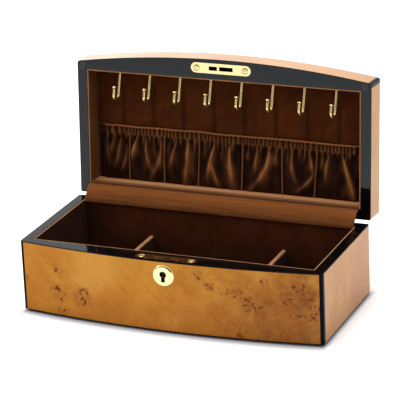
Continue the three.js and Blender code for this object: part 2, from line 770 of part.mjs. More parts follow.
// Gusset: a strip of fabric from inside the back wall, over the rim, to the lid's rim
function gusset() {
  const startY = innerBack - seam - liner - gussetThickness - gussetClearance / 2;
  const startZ = rimHeight - gussetTuck;
  const lidAnchor = openPoint(innerBack - gussetThickness - gussetClearance, lidRim - gussetClearance);
  const curve = new THREE.QuadraticBezierCurve(
    new THREE.Vector2(startY, startZ),
    new THREE.Vector2(startY + gussetThickness + gussetClearance, rimHeight + gussetBulge),
    new THREE.Vector2(lidAnchor.y, lidAnchor.z));
  const steps = 14;
  const outer = [];
  const inner = [];
  for (let i = 0; i <= steps; i += 1) {
    const p = curve.getPoint(i / steps);
    const t = curve.getTangent(i / steps);
    outer.push([p.x - t.y * gussetThickness / 2, p.y + t.x * gussetThickness / 2]);
    inner.push([p.x + t.y * gussetThickness / 2, p.y - t.x * gussetThickness / 2]);
  }
  const half = innerRight - gussetEndInset;
  return prismAlongX(inner.concat(outer.reverse()), -half, half);
}

// Where a point of the closed lid lies once the lid is open
function openPoint(y, z) {
  const turned = new THREE.Vector3(0, y - hingeY, z - hingeZ)
    .applyAxisAngle(new THREE.Vector3(1, 0, 0), -THREE.MathUtils.degToRad(openAngle));
  return turned.add(new THREE.Vector3(0, hingeY, hingeZ));
}

// Assembly
const box = new THREE.Group();
const base = new THREE.Group();
const hingeLine = new THREE.Group();
const lid = new THREE.Group();
box.add(base, hingeLine);
hingeLine.add(lid);
hingeLine.position.set(0, hingeY, hingeZ);
hingeLine.rotation.x = -THREE.MathUtils.degToRad(openAngle);
lid.position.set(0, -hingeY, -hingeZ);

for (const [side, wall] of Object.entries(baseWalls())) {
  base.add(meshOf(`base_${side}_wall`, wall, blackLacquer));
}
for (const [side, skin] of Object.entries(baseVeneers())) {
  base.add(meshOf(`base_${side}_veneer`, skin, burl));
}
const floorPanel = interior(seam - floorRabbet, footHeight, footHeight + floorThickness);
base.add(meshOf('base_floor_panel', floorPanel, darkBoard));
base.add(meshOf('base_floor_pad', interior(seam, padTop - floorPad, padTop), velvet));
base.add(meshOf('base_wall_liner', wallLiner(padTop + seam, rimHeight - linerBelowRim), velvet));
for (const [side, sign] of [['left', -1], ['right', 1]]) {
  const piece = meshOf(`divider_${side}`, divider(), velvet);
  piece.position.x = sign * dividerFromCentre;
  base.add(piece);
}
for (const [end, footY] of [['front', -halfDepth + footInset], ['back', halfDepth - footInset]]) {
  for (const [side, sign] of [['left', -1], ['right', 1]]) {
    const piece = meshOf(`foot_${end}_${side}`, foot(), rubber);
    piece.position.set(sign * (halfLength - footInset), footY, 0);
    base.add(piece);
  }
}
base.add(meshOf('lock_case', lockCase(), steel));
base.add(meshOf('lock_selvage', plateWithSlots(plateUnderside, rimHeight, true), brass));
base.add(meshOf('lock_bolt_carrier', boltCarrier(), steel));
base.add(meshOf('lock_hook_bolt', hookBolt(), brass));
base.add(meshOf('lock_key_pin', keyPin(), steel));
base.add(meshOf('lock_escutcheon', escutcheon(), brass));
lockScrews(rimHeight, true).forEach((screw, i) => {
  base.add(meshOf(`selvage_screw_${i + 1}`, screw, brass));
});

for (const [side, wall] of Object.entries(lidWalls())) {
  lid.add(meshOf(`lid_${side}_wall`, wall, blackLacquer));
}
for (const [side, skin] of Object.entries(lidVeneers())) {
  lid.add(meshOf(`lid_${side}_veneer`, skin, burl));
}
lid.add(meshOf('lid_top_panel', lidTopPanel(), blackLacquer));
lid.add(meshOf('lid_top_veneer', lidTopVeneer(), burl));
const lidLiner = cutAll(wallLiner(lidRim + linerBelowRim, lidPadFace - seam), hookPilots());
lid.add(meshOf('lid_wall_liner', lidLiner, velvet));
lid.add(meshOf('lid_panel_pad', interior(seam, lidPadFace, lidPadFace + lidPad), velvet));
lid.add(meshOf('necklace_pocket', necklacePocket(), velvet));
lid.add(meshOf('strike_plate', plateWithSlots(lidRim, strikeFace, false), brass));
lockScrews(lidRim, false).forEach((screw, i) => {
  lid.add(meshOf(`strike_screw_${i + 1}`, screw, brass));
});
for (const [side, sign] of [['left', -1], ['right', 1]]) {
  const pad = disc(bumperRadius, -bumperHeight, -seam);
  const piece = meshOf(`bumper_${side}`, pad, rubber);
  piece.position.set(sign * (halfLength - bumperFromSide), -halfDepth + bumperFromFrontCorner, lidRim);
  lid.add(piece);
}
for (let i = 0; i < hookCount; i += 1) {
  const piece = meshOf(`necklace_hook_${i + 1}`, hook(), brass);
  piece.applyMatrix4(hookPlace(i));
  lid.add(piece);
}

for (const [side, sign] of [['left', -1], ['right', 1]]) {
  const pieces = [
    [base, `hinge_${side}_base_leaf`, hingeLeaf(false), brass],
    [lid, `hinge_${side}_lid_leaf`, hingeLeaf(true), brass],
    [base, `hinge_${side}_pin`, hingePin(), brass],
  ];
  for (const [carrier, name, solid, material] of pieces) {
    const piece = meshOf(name, solid, material);
    piece.position.x = sign * hingeFromCentre;
    carrier.add(piece);
  }
}
base.add(meshOf('hinge_gusset', gusset(), velvet));

// Origin at the bottom centre of the open box
box.updateMatrixWorld(true);
const bounds = new THREE.Box3().setFromObject(box, true);
box.position.y = -(bounds.min.y + bounds.max.y) / 2;
box.updateMatrixWorld(true);

export default box;
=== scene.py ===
# %% [markdown]
# # A jewelry box with a bowed front, dressed in lacquer, burl and velvet
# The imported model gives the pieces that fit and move. This lesson lays the surfaces over them:
# black lacquer, burl veneer, brown velvet and brass. Everything is in metres, in the model's own
# frame, so each new piece is built where the model's piece already stands. Sizes are written as
# so many times MM, a millimetre, and the masks of the finishes in plain metres.

# %% Load the frame
import json
import math

import bmesh
import bpy
from mathutils import Matrix, Vector, noise


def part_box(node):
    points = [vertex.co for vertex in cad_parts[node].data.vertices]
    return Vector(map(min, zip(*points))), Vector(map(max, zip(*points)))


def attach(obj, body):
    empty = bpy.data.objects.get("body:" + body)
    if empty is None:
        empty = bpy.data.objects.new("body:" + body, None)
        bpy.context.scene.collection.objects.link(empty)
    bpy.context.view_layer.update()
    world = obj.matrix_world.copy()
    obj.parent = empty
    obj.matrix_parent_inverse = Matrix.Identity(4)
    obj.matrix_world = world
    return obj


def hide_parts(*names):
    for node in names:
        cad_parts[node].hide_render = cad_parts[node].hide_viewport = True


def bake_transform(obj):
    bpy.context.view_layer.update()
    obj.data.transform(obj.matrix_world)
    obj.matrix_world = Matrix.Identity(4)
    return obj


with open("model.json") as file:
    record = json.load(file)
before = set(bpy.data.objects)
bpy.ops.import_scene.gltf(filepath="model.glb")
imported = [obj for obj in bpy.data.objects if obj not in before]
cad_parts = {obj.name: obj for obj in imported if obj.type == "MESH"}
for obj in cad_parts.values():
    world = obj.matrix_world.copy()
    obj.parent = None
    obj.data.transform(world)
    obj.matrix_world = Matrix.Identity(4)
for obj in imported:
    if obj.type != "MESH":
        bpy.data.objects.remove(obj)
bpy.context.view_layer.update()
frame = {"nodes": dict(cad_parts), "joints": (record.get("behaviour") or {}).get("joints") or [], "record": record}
MM = 0.001

# %% [markdown]
# ## The camera
# The view is that of a long lens from the front right, a little over two metres off and 20
# degrees above the table.

# %% Camera
CAMERA_PLACE = (0.8035, -1.8892, 0.8442)
CAMERA_TURN = (70.014, 2.322, 22.176)
FOCAL_LENGTH = 209.37
SENSOR_WIDTH = 36

bpy.ops.object.camera_add(
    location=CAMERA_PLACE, rotation=[math.radians(a) for a in CAMERA_TURN])
camera = bpy.context.object
camera.name = "camera"
camera.data.lens = FOCAL_LENGTH
camera.data.sensor_width = SENSOR_WIDTH
camera.data.clip_end = 20
bpy.context.scene.camera = camera

# %% Helpers for objects
def deselect():
    """Nothing selected, so that the next operator acts only on what is chosen after it."""
    bpy.ops.object.select_all(action="DESELECT")


def choose(*pieces):
    deselect()
    for piece in pieces:
        piece.select_set(True)
    bpy.context.view_layer.objects.active = pieces[-1]


def settle(piece):
    """Put the object's place, turn and size into its mesh, so that it sits at the origin."""
    choose(piece)
    bpy.ops.object.transform_apply(location=True, rotation=True, scale=True)
    return piece


def modify(piece, kind, **settings):
    """Add a modifier, set it up and apply it."""
    choose(piece)
    modifier = piece.modifiers.new(kind.lower(), kind)
    for name, value in settings.items():
        setattr(modifier, name, value)
    bpy.ops.object.modifier_apply(modifier=modifier.name)
    return piece


def add(name, operator, **settings):
    """Run an operator that adds an object, and name the object."""
    deselect()
    operator(**settings)
    piece = bpy.context.object
    piece.name = name
    return piece


def block(name, low, high):
    """A cuboid between two corners."""
    piece = add(name, bpy.ops.mesh.primitive_cube_add, size=1,
                location=[(a + b) / 2 for a, b in zip(low, high)])
    piece.scale = [b - a for a, b in zip(low, high)]
    return settle(piece)


def rod(name, radius, start, end, sides=32):
    """A cylinder from one point to another."""
    start, end = Vector(start), Vector(end)
    along = end - start
    return settle(add(
        name, bpy.ops.mesh.primitive_cylinder_add, vertices=sides, radius=radius,
        depth=along.length, location=(start + end) / 2,
        rotation=along.to_track_quat("Z", "Y").to_euler()))


def cut(piece, *tools):
    """Take each tool's volume away from the piece, and delete the tool."""
    for tool in tools:
        modify(piece, "BOOLEAN", object=tool, operation="DIFFERENCE", solver="EXACT")
        bpy.data.objects.remove(tool)


def join(name, *pieces):
    choose(*pieces)
    bpy.ops.object.join()
    piece = bpy.context.object
    piece.name = name
    return piece


def edit(piece, select_mode="FACE"):
    """Go into edit mode with nothing selected."""
    choose(piece)
    bpy.ops.object.mode_set(mode="EDIT")
    bpy.ops.mesh.select_mode(type=select_mode)
    bpy.ops.mesh.select_all(action="DESELECT")
    return bmesh.from_edit_mesh(piece.data)


def leave():
    bpy.ops.object.mode_set(mode="OBJECT")


def face_out():
    """In edit mode, turn all the faces outward."""
    bpy.ops.mesh.select_all(action="SELECT")
    bpy.ops.mesh.normals_make_consistent(inside=False)


def select(mesh, parts, wanted):
    """Select those of a mesh's faces, edges or points that are wanted."""
    for part in parts:
        part.select_set(wanted(part))
    mesh.select_flush_mode()


def paint(piece, *finishes):
    """Give a piece its finishes, and keep which face has which."""
    which = [face.material_index for face in piece.data.polygons]
    piece.data.materials.clear()
    for finish in finishes:
        piece.data.materials.append(finish)
    piece.data.polygons.foreach_set("material_index", which)


def dress(piece, finish, body, slot, *nodes):
    """Give a piece its finishes and its body, and hide the nodes that it stands for. The lid's
    pieces are built as if it were shut, and are swung open here. slot is not used."""
    if body == "lid":
        swing_open(piece)
    paint(piece, *(finish if isinstance(finish, tuple) else (finish,)))
    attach(piece, body)
    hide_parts(*nodes)


# %% [markdown]
# ## Writing shader maths
# A pattern such as burl is a sum of masks and noises. Written with node boxes it takes a page,
# so one small class wraps an output socket and lets Python's own signs add the Math nodes.

# %% Shader helpers
class Wire:
    """A node's output socket. Sums with it add Math nodes to its tree."""

    def __init__(self, tree, socket):
        self.tree, self.socket = tree, socket

    def maths(self, operation, *values):
        node = self.tree.nodes.new("ShaderNodeMath")
        node.operation = operation
        for place, value in zip(node.inputs, values):
            plug(self.tree, place, value)
        return Wire(self.tree, node.outputs[0])

    def __add__(self, other):
        return self.maths("ADD", self, other)

    def __sub__(self, other):
        return self.maths("SUBTRACT", self, other)

    def __mul__(self, other):
        return self.maths("MULTIPLY", self, other)

    def __pow__(self, other):
        return self.maths("POWER", self, other)

    def __radd__(self, other):
        return self.maths("ADD", other, self)

    def __rsub__(self, other):
        return self.maths("SUBTRACT", other, self)

    def __rmul__(self, other):
        return self.maths("MULTIPLY", other, self)

    def step(self, low, high):
        """0 below low, 1 above high, smooth between, and the reverse where high is the less."""
        node = self.tree.nodes.new("ShaderNodeMapRange")
        node.interpolation_type = "SMOOTHSTEP"
        plug(self.tree, node.inputs["Value"], self)
        node.inputs["From Min"].default_value = min(low, high)
        node.inputs["From Max"].default_value = max(low, high)
        node.inputs["To Min"].default_value = int(low >= high)
        node.inputs["To Max"].default_value = int(low < high)
        return Wire(self.tree, node.outputs["Result"])


def plug(tree, place, value):
    """Link a wire to a socket, or set the socket to a number or colour."""
    if isinstance(value, Wire):
        tree.links.new(value.socket, place)
    else:
        place.default_value = value


def shade(colour, share):
    """A darker or lighter tone of a colour."""
    return (*(min(1, v * share) for v in colour[:3]), 1)


class Finish:
    """A material with one Principled shader, and short ways to add nodes to it."""

    def __init__(self, name, **sockets):
        self.material = bpy.data.materials.new(name)
        self.material.use_nodes = True
        self.tree = self.material.node_tree
        self.shader = self.tree.nodes["Principled BSDF"]
        self.place = self.node("ShaderNodeTexCoord", output="Object")
        self.set(**sockets)

    def set(self, **sockets):
        """Socket names are written with underscores: Coat_Weight is Coat Weight."""
        for name, value in sockets.items():
            plug(self.tree, self.shader.inputs[name.replace("_", " ")], value)

    def node(self, kind, settings=None, sockets=None, output=0):
        node = self.tree.nodes.new(kind)
        for name, value in (settings or {}).items():
            setattr(node, name, value)
        for name, value in (sockets or {}).items():
            plug(self.tree, node.inputs[name], value)
        return Wire(self.tree, node.outputs[output])

    def noise(self, scale, detail=3, roughness=0.5, distortion=0, at=None, output=0):
        return self.node("ShaderNodeTexNoise", None, {
            "Vector": at or self.place, "Scale": scale, "Detail": detail,
            "Roughness": roughness, "Distortion": distortion}, output)

    def vector(self, operation, *values, output=0):
        """A sum on places instead of numbers."""
        return self.node("ShaderNodeVectorMath", {"operation": operation},
                         dict(enumerate(values)), output)

    def turned(self, angles, stretch):
        """The place on the piece, turned back by angles in degrees and then stretched."""
        return self.node("ShaderNodeMapping", {"vector_type": "TEXTURE"}, {
            "Vector": self.place, "Rotation": [math.radians(a) for a in angles],
            "Scale": [1 / s for s in stretch]})

    def along(self, axis):
        """The place on the piece along x, y or z."""
        return self.node("ShaderNodeSeparateXYZ", None, {"Vector": self.place}, output=axis)

    def mix(self, share, first, second):
        """The first colour where share is 0 and the second where it is 1."""
        factor, a, b, result = 0, 6, 7, 2
        return self.node("ShaderNodeMix", {"data_type": "RGBA"},
                         {factor: share, a: first, b: second}, result)

    def bump(self, height, depth, strength=1.0):
        """A Bump node whose height of 1 stands depth metres proud."""
        normal = self.node("ShaderNodeBump", None, {
            "Height": height, "Distance": depth, "Strength": strength})
        self.set(Normal=normal)


# %% [markdown]
# ## Black lacquer
# The frame is sprayed black and polished like a piano. The colour has almost nothing to do: what
# shows is the clear surface. It reflects a few hundredths of the room when it is met head on and
# much more at a low angle, which is why the rims look slate grey. A very faint waviness keeps
# the mirror from looking like glass. The index sets how strong the mirror is. The upright sides
# get a weak mirror and the base's rim one in between, as painted shade: it keeps the posts and
# the lines round the veneer quite black, as they look when the room in front of them is dark.

# %% Lacquer
def black_lacquer(name, index):
    finish = Finish(name, Base_Color=(0.0015, 0.0015, 0.002, 1), IOR=index,
                    Specular_Tint=(0.9, 0.98, 1.0, 1))
    finish.set(Roughness=0.03 + 0.03 * finish.noise(60).step(0.35, 0.75))
    finish.bump(finish.noise(25, 2), 0.00004, 0.25)
    return finish.material


LACQUER = black_lacquer("black_lacquer", 1.39)
# Painted shade: the base's rim and the upright sides get weaker mirrors of the one lacquer.
SHADED_RIM_LACQUER = black_lacquer("black_lacquer_shaded_on_base_rim", 1.3)
SHADED_SIDE_LACQUER = black_lacquer("black_lacquer_shaded_on_sides", 1.12)

# %% [markdown]
# ## Burl veneer
# A burl has no straight grain. Soft clouds of honey and amber lie under swirling curls, and dark
# eyes, the buds that never grew, stand in loose groups with a rusty halo round each. A Voronoi
# texture gives the eyes: the distance to the nearest point draws a dot, and a slow noise says
# where the groups are. On the base's front the groups are listed, and the wood is browner and
# more mottled to the right and low down, partly as the wood's own colour and partly as painted
# shade where the light falls off. Every sheet is also darker towards its foot, as painted shade.
# Over it all lies a thick clear coat, polished flat.

# %% Burl
PALE = (0.60, 0.30, 0.055, 1)
HONEY = (0.52, 0.22, 0.020, 1)
AMBER = (0.36, 0.120, 0.007, 1)
BROWN = (0.20, 0.056, 0.006, 1)
RUST = (0.20, 0.050, 0.006, 1)
EYE = (0.105, 0.017, 0.0008, 1)
# The groups of eyes on the base's front, in mm: across and up from the foot's middle, and reach
FRONT_GROUPS = (
    (-109, 49, 6), (-110, 25, 10), (-84, 24, 11), (-107, 8, 7), (-146, 33, 5), (34, 61, 5),
    (45, 51, 5), (58, 48, 5), (71, 46, 6), (83, 37, 9), (92, 31, 7), (97, 60, 5), (116, 45, 7),
    (128, 57, 7), (137, 50, 8), (144, 36, 7), (124, 28, 5), (132, 28, 5), (140, 28, 5),
    (96, 10, 5), (73, 4, 5),
)


def groups_on_front(finish):
    """1 inside the listed groups of eyes, falling to 0 a little past their reach."""
    flat = finish.vector("MULTIPLY", finish.place, (1, 0, 1))
    mask = None
    for across, up, reach in FRONT_GROUPS:
        gap = finish.vector("DISTANCE", flat, (across * MM, 0, up * MM), output="Value")
        near = gap.step(reach * 1.15 * MM, reach * 0.6 * MM)
        mask = near if mask is None else mask.maths("MAXIMUM", mask, near)
    return mask


def strayed(finish, scale, by, start):
    """A place moved about by a noise, so that what is drawn there comes out crooked."""
    tint = finish.noise(scale, 2, output="Color")
    return finish.vector("MULTIPLY_ADD", tint, (by, by, by), start)


def burl(name, tilt, coat, front=False, tone=1.0, eyes=1.0):
    """tilt is the run of the streaks in degrees. front gives the listed groups of eyes, tone
    darkens the whole sheet, and eyes of 0 leaves it clear."""
    pale, honey, amber, brown = (shade(colour, tone) for colour in (PALE, HONEY, AMBER, BROWN))
    finish = Finish(name, Roughness=0.5, Specular_IOR_Level=0, Coat_Weight=coat,
                    Coat_Roughness=0.03, Coat_IOR=1.37)
    wander = strayed(finish, 26, 0.018, finish.place)
    cloud = finish.noise(13, 3, 0.55, 0.8).step(0.3, 0.72)
    streaks = finish.noise(1, 4, 0.6, 1.4, at=finish.turned(tilt, (95, 60, 16))).step(0.35, 0.72)
    curls = finish.noise(120, 4, 0.6, 1.2, at=wander)
    fibre = finish.noise(1, 2, 0.6, at=finish.turned(tilt, (900, 700, 160)))
    # Painted shade: every sheet is darker low down, towards the table, and its pale patches fade there.
    foot = finish.along("Z").step(0.05, 0.0) * (0.6 if front else 0.5)
    depth = cloud * 0.5 + streaks * 0.26 + curls.step(0.3, 0.75) * 0.14
    colour = finish.mix(depth + foot, honey, amber)
    if front:
        patches = finish.noise(55, 3, 0.6, 0.7, at=wander).step(0.38, 0.62)
        # Partly the wood's own colour and partly painted shade: the front gets browner to the right and low down.
        low = finish.along("Z").step(0.072, 0.03)
        brown_and_shade = finish.along("X").step(0.0, 0.155) * (0.36 + 0.4 * patches + 0.42 * low)
        colour = finish.mix(brown_and_shade, colour, brown)
        mottled = finish.along("X").step(-0.06, 0.09) * 0.2 + 0.06
        colour = finish.mix(curls.step(0.48, 0.7) * mottled, colour, brown)
        colour = finish.mix(curls.step(0.52, 0.3) * mottled * 0.6, colour, pale)
    light = finish.noise(19, 2, 0.5).step(0.5, 0.72) * (1 - foot)
    colour = finish.mix(light * 0.45, colour, pale)
    colour = finish.mix(fibre.step(0.5, 0.8) * 0.2, colour, amber)

    broken = strayed(finish, 330, 0.0045, wander)
    cells = {"Vector": broken, "Scale": 205 if front else 170, "Randomness": 1}
    far = finish.node("ShaderNodeTexVoronoi", None, cells, output="Distance")
    each = finish.node("ShaderNodeTexVoronoi", None, cells, output="Color")
    lot = finish.node("ShaderNodeSeparateColor", None, {"Color": each})
    if front:
        group = groups_on_front(finish)
        colour = finish.mix(group * curls.step(0.35, 0.65) * 0.5, colour, RUST)
        group = group * lot.step(0.02, 0.2)
    else:
        group = finish.noise(17, 2, 0.5).step(0.56, 0.66) * lot.step(0.35, 0.55) * eyes
    halo = far.step(0.6, 0.2) * group
    pupil = far.step(0.42, 0.26) * group
    colour = finish.mix(halo * 0.5, colour, RUST)
    colour = finish.mix(pupil * 0.95, colour, EYE)
    finish.set(Base_Color=colour)
    return finish.material


# The sheets are one veneer, given darker tones on the base's front, the sides and the lid's front so that each
# face comes out as dark as it looks under the light: these tones are painted shade.
BURL = burl("burl_veneer", (0, 12, 0), 1.0)
FRONT_BURL = burl("burl_veneer_on_front", (0, -48, 0), 0.4, front=True, tone=0.94)
SHADED_SIDE_BURL = burl("burl_veneer_on_sides", (0, 12, 0), 0.86, tone=0.86, eyes=0)
SHADED_LID_FRONT_BURL = burl("burl_veneer_on_lid_front", (0, 80, 0), 0.88, tone=0.72, eyes=0)

# %% [markdown]
# ## Velvet
# Velvet is dark where one looks straight into its pile and glows where the pile is seen from the
# side, so the strip over the hinges and every folded edge are bright. The sheen of the
# Principled shader is made for this. Fine noise lays the pile one way and another, in brushed
# patches, and gives it a short nap. The pocket and the strip also carry a number at each point,
# their painted light, that says how bright the pile is painted there: a painted highlight on
# ridges and rolls, and painted shade in the hollows.

# %% Velvet
HOOK_SPACING = 31.8 * MM


def velvet(name, pile, glow, glow_weight, lit_pile=None, painted_light=None, painted_shade=None):
    """lit_pile is the colour where painted_light is 1, a painted highlight, and painted_shade says where the pile
    is painted darker.
    """
    finish = Finish(name, Roughness=0.95, Sheen_Weight=glow_weight, Sheen_Roughness=0.38,
                    Sheen_Tint=glow, Specular_IOR_Level=0.05)
    brushed = finish.noise(55, 3, 0.6, 0.5)
    nap = finish.noise(2600, 2, 0.7)
    colour = finish.mix(brushed.step(0.35, 0.7), shade(pile, 0.62), pile)
    colour = finish.mix(nap.step(0.45, 0.8) * 0.5, colour, shade(pile, 1.5))
    if painted_shade:
        colour = finish.mix(painted_shade(finish), colour, shade(pile, 0.25))
    if lit_pile:
        high = painted_light(finish) if painted_light else finish.node(
            "ShaderNodeAttribute", {"attribute_name": "painted_light"}, output="Fac")
        colour = finish.mix(high, colour, lit_pile)
    finish.set(Base_Color=colour)
    finish.bump(nap * 0.7 + finish.noise(700, 3, 0.6) * 0.6, 0.00035, 0.75)
    return finish.material


def shadows_under_wall_and_hooks(finish):
    """Painted shadow: the panel is darkest under the lid's front wall and in a soft stripe below each hook, where
    they shade it.
    """
    wave = finish.along("X") * (2 * math.pi / HOOK_SPACING)
    stripe = wave.maths("COSINE", wave).step(-0.78, -1.0)
    up = finish.along("Z")
    below = stripe * up.step(0.182, 0.170) * 0.6
    return below.maths("MAXIMUM", below, up.step(0.184, 0.196) * 0.75)


def shaded_corner(finish):
    """The base's back wall is darker towards the floor and in its left corner."""
    low = finish.along("Z").step(0.062, 0.020) * 0.6
    return low.maths("MAXIMUM", low, finish.along("X").step(-0.085, -0.138) * 0.8)


# One velvet lines the box. Its copies differ in pile and sheen so that each place comes out as it looks lit: the
# base's inside gets a much darker copy as painted shade, and the base's back wall and the lid's panel lighter ones
# as painted light.
VELVET = velvet("velvet", (0.044, 0.0104, 0.0030, 1), (1.0, 0.42, 0.15, 1), 0.5)
BACK_VELVET = velvet("velvet_on_base_back", (0.055, 0.0125, 0.0040, 1), (1.0, 0.42, 0.2, 1), 0.4,
                     painted_shade=shaded_corner)
SHADED_BASE_VELVET = velvet("velvet_shaded_in_base", (0.016, 0.0042, 0.0024, 1), (1.0, 0.42, 0.25, 1), 0.1)
PANEL_VELVET = velvet("velvet_on_panel", (0.070, 0.0165, 0.0034, 1), (1.0, 0.42, 0.15, 1), 0.35,
                      painted_shade=shadows_under_wall_and_hooks)
# Painted highlight: the lit top edges of the boards and dividers get this much lighter velvet.
LIT_TOP_VELVET = velvet("velvet_lit_on_tops", (0.34, 0.145, 0.052, 1), (1.0, 0.7, 0.5, 1), 1.0)
# Painted highlight along the top of the lid's back liner, the roll, and painted shade along its front edge, the
# crease under it.
LIT_LEDGE_VELVET = velvet("velvet_on_ledge", (0.10, 0.032, 0.008, 1), (1.0, 0.5, 0.25, 1), 0.6,
                      lit_pile=(0.36, 0.158, 0.060, 1),
                      painted_light=lambda finish: finish.along("Y").step(0.0622, 0.0672),
                      painted_shade=lambda finish: finish.along("Y").step(0.0606, 0.0590) * 0.85)
GUSSET_CLOTH = velvet("gusset_velvet_cloth", (0.045, 0.013, 0.0045, 1), (1.0, 0.5, 0.2, 1), 0.45,
                      lit_pile=(0.168, 0.053, 0.0125, 1))
POCKET_CLOTH = velvet("pocket_velvet_cloth", (0.008, 0.0019, 0.0011, 1), (1.0, 0.45, 0.2, 1), 0.13,
                      lit_pile=(0.30, 0.105, 0.030, 1))

# %% [markdown]
# ## Brass, steel, rubber and board
# The plates and screws are pale polished brass, and the hooks' wire a little duller. Steel is
# left to the works inside the lock, and the feet and the two rim bumpers are black rubber.

# %% Metals and plain finishes
def metal(name, colour, roughness, grain):
    finish = Finish(name, Metallic=1)
    scratch = finish.noise(1, 3, 0.6, at=finish.turned((0, 0, 0), grain))
    finish.set(Roughness=roughness + 0.12 * scratch.step(0.4, 0.8))
    worn = finish.noise(220).step(0.35, 0.8) * 0.5
    finish.set(Base_Color=finish.mix(worn, colour, shade(colour, 0.86)))
    finish.bump(scratch, 0.00001, 0.3)
    return finish.material


def plain(name, colour, roughness, scale):
    finish = Finish(name)
    grain = finish.noise(scale, 4, 0.6)
    finish.set(Base_Color=finish.mix(grain.step(0.35, 0.7), colour, shade(colour, 0.55)),
               Roughness=roughness + 0.15 * grain)
    finish.bump(grain, 0.00005, 0.5)
    return finish.material


BRASS = metal("brass", (0.90, 0.72, 0.36, 1), 0.12, (900, 60, 900))
WIRE_BRASS = metal("brass_wire", (0.97, 0.74, 0.34, 1), 0.22, (900, 900, 60))
STEEL = metal("steel", (0.42, 0.42, 0.44, 1), 0.3, (60, 900, 900))
RUBBER = plain("black_rubber", (0.012, 0.012, 0.013, 1), 0.45, 400)
BOARD = plain("floor_board", (0.022, 0.016, 0.013, 1), 0.7, 300)

# %% [markdown]
# ## Sizes from the frame
# The frame tells where everything stands, so most sizes are read from its pieces. The lid stands
# open, leaning back four degrees. Its pieces are built as if it were shut, where their edges run
# along the axes, and are then swung open about the hinge line in one move.

# %% Sizes
SEAM = 0.1 * MM
VENEER = 0.8 * MM
# The model's own corner post, then the posts and lines that the veneer leaves black here
MODEL_POST = 2.6 * MM
FRONT_POST = 3.3 * MM
SIDE_POST = 4.4 * MM
REAR_LINE = 0.7 * MM
RIM_LINE = 1.0 * MM
BOTTOM_LINE = 0.7 * MM
CORNER = 1.6 * MM
LINER = 1.2 * MM
OPEN_ANGLE = math.radians(94)
RIM_GAP = 1.0 * MM
LID_HEIGHT = 26.6 * MM
LID_BOARD = 3.1 * MM

HINGE = Vector(next(j["pos_m"] for j in frame["joints"] if j["name"] == "lid_hinge"))
LEFT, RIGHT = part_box("base_left_wall")[0].x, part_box("base_right_wall")[1].x
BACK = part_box("base_back_wall")[1].y
FRONT_LOW, FRONT_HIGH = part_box("base_front_wall")
FRONT, BOTTOM, RIM = FRONT_LOW.y, FRONT_LOW.z, FRONT_HIGH.z
SIDE_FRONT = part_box("base_left_veneer")[0].y - MODEL_POST
LINER_LOW, LINER_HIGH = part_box("base_wall_liner")
INNER_X = LINER_HIGH.x + SEAM
INNER_FRONT, INNER_BACK = LINER_LOW.y - SEAM, LINER_HIGH.y + SEAM
BOW = SIDE_FRONT - FRONT
BOW_RADIUS = (RIGHT ** 2 + BOW ** 2) / (2 * BOW)
LID_RIM = RIM + RIM_GAP
LID_TOP = LID_RIM + LID_HEIGHT
LID_BOARD_TOP = LID_TOP - VENEER - SEAM
LID_PAD_TOP = LID_BOARD_TOP - LID_BOARD
print("bow in mm:", round(BOW / MM, 2), "radius:", round(BOW_RADIUS / MM, 1))


def swing_open(piece):
    """Turn a lid piece, built shut, to where the open lid stands."""
    turn = Matrix.Rotation(-OPEN_ANGLE, 4, "X")
    piece.data.transform(Matrix.Translation(HINGE) @ turn @ Matrix.Translation(-HINGE))


# %% [markdown]
# ## The lacquered frames
# Base and lid are each one ring of four walls. They were mitred, glued and lacquered as one, so
# no joint shows, and each ring is one mesh here. It starts as a block, is sliced where the bow
# and the veneer panels need edges, bowed at the front and hollowed with a Boolean. A thin bevel
# gives every edge the highlight that a sprayed edge has. The veneer is inlaid flush, so each
# panel is lifted straight off the ring's own faces and given its thickness, and the faces under
# it are pressed in to make it room.

# %% Lacquered ring
BOW_SLICES = 64
CORNER_SEGMENTS = 5
FRAME_EDGE = 0.4 * MM


def slice_at(piece, axis, places):
    """Give a piece new edges where planes across an axis meet it."""
    edit(piece)
    for place in places:
        point, normal = [0, 0, 0], [0, 0, 0]
        point[axis], normal[axis] = place, 1
        bpy.ops.mesh.select_all(action="SELECT")
        bpy.ops.mesh.bisect(plane_co=point, plane_no=normal)
    leave()


def round_corners(piece, radius, segments):
    """Round the four upright corners of a block."""
    mesh = edit(piece, "EDGE")
    select(mesh, mesh.edges, lambda e: e.verts[0].co.xy == e.verts[1].co.xy)
    bpy.ops.mesh.bevel(offset=radius, segments=segments, affect="EDGES")
    leave()
    return piece


def bow_out(piece):
    """Push the front face out to the bow. The piece has been sliced along x first."""
    for vertex in piece.data.vertices:
        if vertex.co.y < SIDE_FRONT + CORNER / 2:
            reach = math.sqrt(BOW_RADIUS ** 2 - vertex.co.x ** 2)
            vertex.co.y -= reach - (BOW_RADIUS - BOW)


def bowed_block(name, low, high):
    """The plan of the whole box between two heights, rounded at the corners and bowed in front."""
    piece = block(name, (LEFT, SIDE_FRONT, low), (RIGHT, BACK, high))
    round_corners(piece, CORNER, CORNER_SEGMENTS)
    first, last = LEFT + CORNER, RIGHT - CORNER
    slice_at(piece, 0, [first + (last - first) * i / BOW_SLICES for i in range(BOW_SLICES + 1)])
    return piece


def ring_edges(ring, *heights):
    """The edges that the veneer panels need, and then the bow."""
    slice_at(ring, 0, [LEFT + FRONT_POST, RIGHT - FRONT_POST])
    slice_at(ring, 1, [SIDE_FRONT + SIDE_POST, BACK - REAR_LINE])
    slice_at(ring, 2, heights)
    bow_out(ring)


def beside_post(at):
    return SIDE_FRONT + SIDE_POST < at.y < BACK - REAR_LINE


